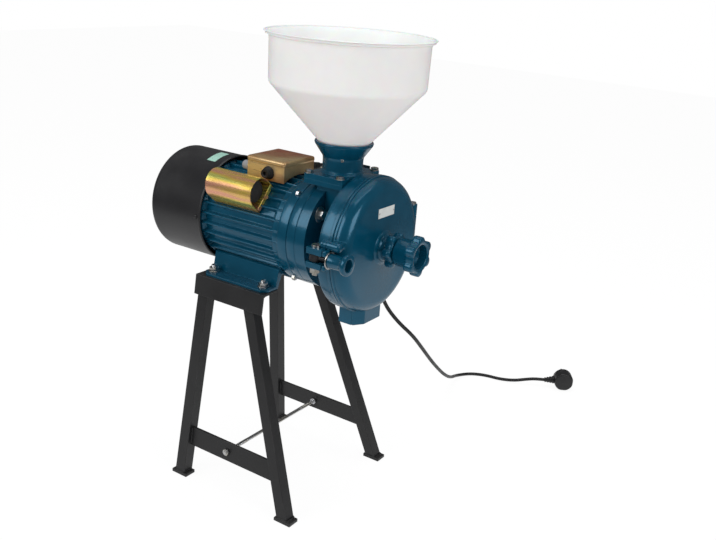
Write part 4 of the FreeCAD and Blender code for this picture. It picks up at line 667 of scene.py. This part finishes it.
# Both capacitors lie under folded covers of yellow zinc-plated sheet, open at the ends and round on top.
# The plating shifts from gold to rose and green in bands along the sheet, as chromate does.
def rainbow_plating(name, gold, rose, green, rough, stretch):
    """Yellow chromate: three tones in soft bands that run along the piece."""
    made, tree, output = blank_material(name)
    place = tree.nodes.new("ShaderNodeTexCoord").outputs["Object"]
    drawn = wire(tree, "ShaderNodeMapping", Vector=place, Scale=stretch)
    slow = wire(tree, "ShaderNodeTexNoise", Vector=drawn.outputs[0], Scale=1.0, Detail=3.0, Roughness=0.45)
    ramp = wire(tree, "ShaderNodeValToRGB", Fac=slow.outputs[0])
    stops = ramp.color_ramp.elements
    stops[0].position, stops[0].color = 0.36, (*green, 1)
    stops[1].position, stops[1].color = 0.64, (*rose, 1)
    middle = stops.new(0.47)
    middle.color = (*gold, 1)
    skin = tree.nodes.new("ShaderNodeGroup")
    skin.node_tree = plated_skin
    skin.inputs["Rough"].default_value = rough
    skin.inputs["Streak"].default_value = 0.2
    skin.inputs["Edge"].default_value = 0.0008
    tree.links.new(ramp.outputs[0], skin.inputs["Color"])
    tree.links.new(ramp.outputs[0], skin.inputs["Other"])
    surface = wire(tree, "ShaderNodeBsdfPrincipled", Metallic=0.72, Base_Color=skin.outputs["Color"],
                   Roughness=skin.outputs["Roughness"], Normal=skin.outputs["Normal"])
    tree.links.new(surface.outputs[0], output.inputs["Surface"])
    return made


gold_sheet = rainbow_plating("yellow_zinc_sheet", (0.86, 0.62, 0.12), (0.82, 0.40, 0.26), (0.70, 0.70, 0.18), 0.25,
                             (9.0, 70.0, 70.0))
for side, sy in (("near", -1), ("far", 1)):
    tilt = math.radians(50)
    bow = np.radians(np.linspace(0, 180, 37))
    wall = np.concatenate([[(0.0222, 0.0668), (0.0222, 0.0715)], np.column_stack([0.0222 * np.cos(bow), 0.0863 + 0.0222 * np.sin(bow)]),
                           [(-0.0222, 0.0715), (-0.0222, 0.0668)]])
    x = np.linspace(-0.060, 0.027, 30)
    v = (x + 0.0165) / 0.0435
    grow = 1 + 0.012 * v ** 8
    points = np.empty((len(x), len(wall), 3))
    points[..., 0] = x[:, None]
    across, rise = wall[:, 0][None, :] * grow[:, None], 0.0863 + (wall[:, 1] - 0.0863)[None, :] * np.where(
        wall[:, 1] > 0.0863, 1, 0)[None, :] * (grow[:, None] - 1) + (wall[:, 1] - 0.0863)[None, :]
    points[..., 1] = sy * (rise * math.sin(tilt) + across * math.cos(tilt))
    points[..., 2] = AXIS + rise * math.cos(tilt) - across * math.sin(tilt)
    cover = skin_mesh("capacitor_hood_" + side, [(points, False, False)], gold_sheet, 60)
    sheet = cover.modifiers.new("sheet", "SOLIDIFY")
    sheet.thickness = 0.0012
    sheet.offset = 0
    fitted(cover, MACHINE, "zinc_gold", "capacitor_cover_" + side)
    base = np.concatenate([soft_block((-0.059, -0.0213, 0.0705), (0.0292, 0.0213, 0.0716), 0.0005, 12, 24),
                           soft_block((0.0274, -0.0213, 0.0707), (0.0292, 0.0213, 0.0775), 0.0008, 12, 24)])
    turned = np.stack([base[..., 0], sy * (base[..., 2] * math.sin(tilt) + base[..., 1] * math.cos(tilt)),
                       AXIS + base[..., 2] * math.cos(tilt) - base[..., 1] * math.sin(tilt)], axis=-1)
    out = np.array([0, sy * math.sin(tilt), math.cos(tilt)])
    lug = np.array([0.0325, 0, AXIS]) + out * 0.0765
    fitted(skin_mesh("capacitor_base_" + side, [(turned[:12], True, True), (turned[12:], True, True), (hex_block(lug, out, 0.006, 0.0026), True, True)],
                     gold_sheet), MACHINE, "zinc_gold")
dark_can = coated("capacitor_sleeve", moulded_skin, values={"Color": (0.03, 0.03, 0.032, 1), "Rough": 0.5, "Depth": 0.1})
dress(dark_can, "capacitor_near capacitor_far")

# The terminal box is folded from the same sheet, with a shallow lid whose corners are bent round.
# Its plating is browner, in soft bands of tan, copper red and pale gold where the sheet was masked, over lid and walls
# alike; the copper red is painted shade, the colour the walls show in shade, mixed in as a plating tone.
box_sheet = rainbow_plating("brown_zinc_sheet", (0.62, 0.38, 0.18), (0.50, 0.15, 0.07), (0.80, 0.58, 0.30), 0.33,
                            (14.0, 14.0, 26.0))
dress(box_sheet, "terminal_box")
low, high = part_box("terminal_box_lid")
lid_shape = soft_block(np.asarray(low) + 0.0002, np.asarray(high) - 0.0002, 0.0040, 40, 80)
lid = skin_mesh("folded_box_lid", [(lid_shape, True, True)], box_sheet, 60)
fitted(lid, MACHINE, "box_tan", "terminal_box_lid")
boot_rubber = coated("boot_rubber", moulded_skin, values={"Color": (0.010, 0.010, 0.011, 1), "Rough": 0.5, "Depth": 0.2})
boot = ([(0, 0.0001), (0, 0.0095), (0.0006, 0.0100), (0.0020, 0.0100), (0.0024, 0.0088)]
        + [(0.0024 + 0.0076 * t, 0.0088 - 0.0026 * t + 0.0006 * math.cos(t * 6 * math.pi)) for t in np.linspace(0.05, 1, 20)]
        + [(0.0101, 0.0045), (0.0096, 0.0032), (0.0060, 0.0028), (0.0060, 0.0001)])
boot_piece = skin_mesh("capacitor_wire_boot", [(round_about((0.017, -0.036, AXIS + 0.080), (0, -1, 0), boot, 48), True, False)],
                       boot_rubber)
fitted(boot_piece, MACHINE, "rubber_black", "cable_boot")
grey_nylon = coated("grey_nylon", moulded_skin, values={"Color": (0.30, 0.31, 0.33, 1), "Rough": 0.4, "Depth": 0.1})
gland = [(0, 0.0001), (0, 0.0074), (0.0006, 0.0080), (0.0055, 0.0080), (0.0060, 0.0072), (0.0128, 0.0070),
         (0.0140, 0.0062), (0.0140, 0.0046), (0.0060, 0.0044), (0.0060, 0.0001)]
fitted(skin_mesh("grey_wire_gland", [(round_about((-0.024, -0.026, AXIS + 0.0815), (-1, 0, 0), gland, 48), True, False)],
                 grey_nylon), MACHINE, "grey_plastic", "cable_gland")
relief_s = np.linspace(0.0072, 0.0268, 50)
relief_r = 0.0080 - 0.0035 * (relief_s - 0.0072) / 0.0196
groove = (np.sin((relief_s - 0.0105) * 2 * np.pi / 0.0036) > 0.55) & (relief_s > 0.0105) & (relief_s < 0.0255)
relief = [(float(a), float(b)) for a, b in zip(relief_s, relief_r - 0.0008 * groove)] + [(0.0278, 0.0041), (0.0280, 0.0034)]
collar = hex_block((0.036, 0.036, AXIS + 0.0805), (0, 1, 0), 0.017, 0.0072)
fitted(skin_mesh("lead_gland", [(collar, True, True),
                                (round_about((0.036, 0.036, AXIS + 0.0805), (0, 1, 0), relief, 40), True, True)],
                 boot_rubber), MACHINE, "plug_black", "cord_gland")
dress(enamel, "front_cover")

# The throat collar is a short iron trumpet bolted over the feed opening; the hopper's neck stands in its flare.
# A set screw in its side keeps the hopper from turning.
base_z = AXIS + 0.0885
horn = ([(base_z + 0.004, 0.0255), (base_z + 0.004, 0.0345), (base_z + 0.0078, 0.0345)]
        + arc(base_z + 0.0128, 0.0344, 0.0050, 180, 270, 6) + [(base_z + 0.0240, 0.0293)]
        + [(z, 0.0293 + 0.0105 * ((z - base_z - 0.0240) / 0.0245) ** 2.2) for z in np.linspace(base_z + 0.026, base_z + 0.0475, 14)]
        + arc(AXIS + 0.1390, 0.0407, 0.0019, 150 - 180, 90, 7) + [(AXIS + 0.1405, 0.0392), (AXIS + 0.1190, 0.0251),
                                                                    (base_z + 0.004, 0.0251)])
horn = [(z - base_z, r) for z, r in horn]
screw_spot = np.array([0.1235 + 0.0293 * 0.54, -0.0293 * 0.84, AXIS + 0.118])
screw_way = np.array([0.54, -0.84, 0])
collar_piece = skin_mesh("throat_trumpet", [(round_about((0.1235, 0, base_z), UP, horn, 120), True, False)], enamel)
fitted(collar_piece, MACHINE, "mill_blue")
set_screw = [(-0.001, 0.0022), (0.0010, 0.0022), (0.0014, 0.0018), (0.0014, 0.0011), (0.0004, 0.0009), (0.0004, 0.0001)]
fitted(skin_mesh("throat_set_screw", [(round_about(screw_spot, screw_way, set_screw, 24), True, True)], zinc), MACHINE, "zinc")

# The hopper is one thin moulding of milky polyethylene: rolled rim, straight wall, cone and a short neck.
# Light goes a little way into it, so its edges glow and its inside reads as pale as its outside.
milky = coated("milky_polyethylene", moulded_skin, shine=0.4,
               values={"Color": (0.90, 0.905, 0.90, 1), "Cloud": 0.04, "Rough": 0.36, "Depth": 0.08, "Grain": 500.0,
                       "Edge": 0.0006}, Subsurface_Weight=0.35, Subsurface_Scale=0.006)
top = AXIS + 0.2905
knee = AXIS + 0.220
seat_low, seat_top = AXIS + 0.1185, AXIS + 0.141
bowl = ([(AXIS + 0.112, 0.0246), (seat_low, 0.0246), (seat_top, 0.0381)]
        + [(knee - 0.004, 0.1073), (knee - 0.0015, 0.1097), (knee + 0.001, 0.1111), (knee + 0.004, 0.1116)]
        + [(top - 0.010, 0.1128), (top - 0.0065, 0.1136), (top - 0.0052, 0.1180)] + arc(top - 0.0030, 0.1185, 0.0022, -90, 60, 9)
        + arc(top - 0.0016, 0.1140, 0.0016, 60, 180, 7)[::1] + [(top - 0.010, 0.1104), (knee + 0.004, 0.1091),
                                                                (knee + 0.0005, 0.1083), (knee - 0.003, 0.1050)]
        + [(seat_top + 0.0015, 0.0358), (seat_low + 0.0015, 0.0222), (AXIS + 0.112, 0.0222), (AXIS + 0.112, 0.0246)])
bowl = [(z - AXIS, r) for z, r in bowl]
funnel = skin_mesh("hopper_moulding", [(round_about((0.1235, 0, AXIS), UP, bowl, 220), True, False)], milky, 50)
fitted(funnel, "funnel", "hopper_white", "hopper")
# The screw ends in a cast hand wheel: a thick hollow hub with a scalloped flange of six lobes at its front.
# A flatter scalloped wheel behind it locks the setting. Both are enamelled like the mill.
def lobed(start, profile, lobe, count, turn, around=360):
    """A profile carried round the X axis; its outer points follow the union of a disc and a ring of lobes.

    A lobe's outline in polar form is c cos(a) + sqrt(r^2 - c^2 sin^2(a)), blended softly with the disc.
    """
    angle = np.linspace(0, 2 * np.pi, around, endpoint=False)
    step = 2 * np.pi / count
    off = ((angle - turn + step / 2) % step) - step / 2
    dist, radius, share = np.array([(p + (0,))[:3] for p in profile], float).T
    reach = radius.max()
    middle = reach - lobe
    under = np.maximum(lobe ** 2 - (middle * np.sin(off)) ** 2, 0)
    bulge = np.where(under > 0, middle * np.cos(off) + np.sqrt(under), 0)
    disc = reach - 0.0055
    outline = disc + np.log1p(np.exp((bulge - disc) / 0.0006)) * 0.0006
    lift = share[:, None] * (outline - reach)[None, :]
    rounds = radius[:, None] + lift
    return np.stack([start + dist[:, None] * np.ones(around), -rounds * np.sin(angle), AXIS + rounds * np.cos(angle)], axis=-1)


hub = [(0, 0.0085), (0, 0.0190), (0.0005, 0.0200), (0.0015, 0.0205), (0.0200, 0.0207)] + [
    (0.0215, 0.0215, 0.0), (0.0222, 0.0270, 1.0), (0.0226, 0.0285, 1.0), (0.0236, 0.0293, 1.0), (0.0260, 0.0295, 1.0),
    (0.0330, 0.0295, 1.0), (0.0350, 0.0292, 1.0), (0.0358, 0.0282, 1.0), (0.0360, 0.0265, 1.0),
    (0.0359, 0.0215, 0.0), (0.0356, 0.0190, 0.0), (0.0345, 0.0178, 0.0), (0.0230, 0.0166), (0.0222, 0.0155), (0.0222, 0.0001)]
wheel_skin = skin_mesh("scalloped_hand_wheel",
                       [(lobed(0.230, hub, 0.0075, 6, math.radians(0)), True, True),
                        (thread((0.1876, 0, AXIS), (1, 0, 0), 0.0080, 0.0434, 0.0020), True, True),
                        (soft_block((0.1875, -0.0098, AXIS - 0.0098), (0.1899, 0.0098, AXIS + 0.0098), 0.001), True, True)],
                       enamel, 38)
fitted(wheel_skin, "screw", "mill_blue", "adjusting_screw")
ring = [(0, 0.0083), (0, 0.0240, 1.0), (0.0006, 0.0252, 1.0), (0.0020, 0.0260, 1.0), (0.0105, 0.0260, 1.0),
        (0.0121, 0.0252, 1.0), (0.0127, 0.0240, 1.0), (0.0127, 0.0150), (0.0127, 0.0083), (0, 0.0083)]
lock_skin = skin_mesh("scalloped_lock_wheel", [(lobed(0.2153, ring, 0.0060, 6, math.radians(30)), True, False)], enamel, 38)
fitted(lock_skin, "lock", "mill_blue", "lock_wheel")

# The swing bolt's hand nut is a cast sleeve with a flared front and a deep mouth, on a plated washer.
# Its bolt is dark oiled steel; the upright pin has a domed plated head above and a nut below.
nut_x = face + 0.006 + 0.0003
nut_end = 0.219 - nut_x
sleeve = ([(0.0017, 0.0047), (0.0017, 0.0098), (0.0024, 0.0105), (nut_end - 0.0125, 0.0105), (nut_end - 0.0085, 0.0122),
           (nut_end - 0.0062, 0.0140), (nut_end - 0.0050, 0.0147), (nut_end - 0.0018, 0.0150), (nut_end - 0.0005, 0.0146),
           (nut_end, 0.0136), (nut_end, 0.0096), (nut_end - 0.0008, 0.0087), (nut_end - 0.0099, 0.0085),
           (nut_end - 0.0100, 0.0047), (0.0017, 0.0047)])
nut_skin = skin_mesh("cast_hand_nut", [(round_about((nut_x, -0.1105, ear_z), (1, 0, 0), sleeve, 72), True, False)], enamel, 38)
fitted(nut_skin, "nut", "mill_blue", "hand_nut")
disc = [(0, 0.0048), (0, 0.0118), (0.0004, 0.0124), (0.0012, 0.0124), (0.0016, 0.0118), (0.0016, 0.0048), (0, 0.0048)]
fitted(skin_mesh("nut_washer", [(round_about((nut_x, -0.1105, ear_z), (1, 0, 0), disc, 64), True, False)], zinc), "nut", "zinc")
oiled = coated("oiled_steel", plated_skin, metal=1.0,
               values={"Color": (0.09, 0.09, 0.095, 1), "Other": (0.05, 0.05, 0.055, 1), "Rough": 0.42, "Streak": 0.2})
dress(oiled, "swing_bolt")
dress(zinc, "hinge_pin clamp_pin")
cap = [(-0.0008, 0.0064), (0.0016, 0.0064), (0.0024, 0.0058), (0.0028, 0.0045), (0.0029, 0.0022), (0.0029, 0.0001)]
fitted(skin_mesh("clamp_pin_head", [(round_about((0.164, -0.1105, ear_z + 0.0145), UP, cap, 32), True, True)], zinc),
       MACHINE, "zinc")
lug_bar = [(0, 0.0003)] + arc(0.0030, 0.0036, 0.0030, 180, 90, 5) + [(0.0084, 0.0066), (0.0084, 0.0003)]
fitted(skin_mesh("housing_lug_bar", [(round_about((0.1719, -0.106, ear_z + 0.019), (1, 0, 0), lug_bar, 40), True, True)],
                 enamel), MACHINE, "mill_blue")

# The bare plate on the cover is thin white-painted aluminium, held by two round rivets.
# It stays blank.
plate_white = coated("blank_plate", painted_skin, shine=0.4,
                     values={"Color": (0.72, 0.74, 0.72, 1), "Worn": (0.55, 0.56, 0.56, 1), "Wear": 0.3, "DustAndSheen": 0.05,
                             "Rough": 0.35, "Peel": 0.05, "Pebble": 700.0, "Edge": 0.0006})
dress(plate_white, "label_plate")
rivet = [(0, 0.0013), (0.0004, 0.0013), (0.0007, 0.0009), (0.0008, 0.0001)]
low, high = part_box("label_plate")
spots = [(high[0] - 0.0002, y, (low[2] + high[2]) / 2) for y in (low[1] + 0.0025, high[1] - 0.0025)]
fitted(skin_mesh("plate_rivets", [(round_about(spot, (1, 0, 0), rivet, 20), True, True) for spot in spots], zinc),
       "cover", "label_white")

# The working parts inside: bright shaft, bearings and shutter, raw cast auger and grinding discs,
# a laminated stator with copper windings, a skewed rotor and a moulded fan.
bright = coated("bright_steel", plated_skin, metal=1.0,
                values={"Color": (0.55, 0.55, 0.56, 1), "Other": (0.42, 0.42, 0.43, 1), "Rough": 0.28, "Streak": 0.5})
dress(bright, "bearing_rear bearing_front motor_shaft feed_shutter")
raw_iron = coated("raw_cast_iron", plated_skin, metal=0.85,
                  values={"Color": (0.20, 0.195, 0.19, 1), "Other": (0.12, 0.115, 0.11, 1), "Rough": 0.55, "Streak": 0.1,
                          "Cloud": 1.0})
dress(raw_iron, "feed_auger turning_disc fixed_disc pressure_plate stator_core")
wound = coated("varnished_copper", plated_skin, metal=0.8,
               values={"Color": (0.45, 0.16, 0.05, 1), "Other": (0.32, 0.10, 0.035, 1), "Rough": 0.35, "Streak": 0.8})
dress(wound, "stator_winding")
dull_metal = coated("cast_aluminium", plated_skin, metal=1.0,
                    values={"Color": (0.50, 0.50, 0.51, 1), "Other": (0.40, 0.40, 0.41, 1), "Rough": 0.45, "Streak": 0.3})
dress(dull_metal, "rotor_core")
dress(plug_black, "cooling_fan")
heads = []
for sy in (-1, 1):
    for sz in (-1, 1):
        spot = np.array([0.1209, 0.0465 * sy, AXIS + 0.0405 * sz])
        heads.append((washer(spot, (1, 0, 0), 0.0118, 0.0016), True, True))
        heads.append((hex_block(spot + [0.0016, 0, 0], (1, 0, 0), 0.013, 0.0075), True, True))
fitted(skin_mesh("flange_bolt_heads", heads, zinc), MACHINE, "zinc")
dress(zinc, "flange_bolt_1 flange_bolt_2 flange_bolt_3 flange_bolt_4 throat_bolt_near_rear throat_bolt_far_rear "
      "throat_bolt_near_front throat_bolt_far_front")
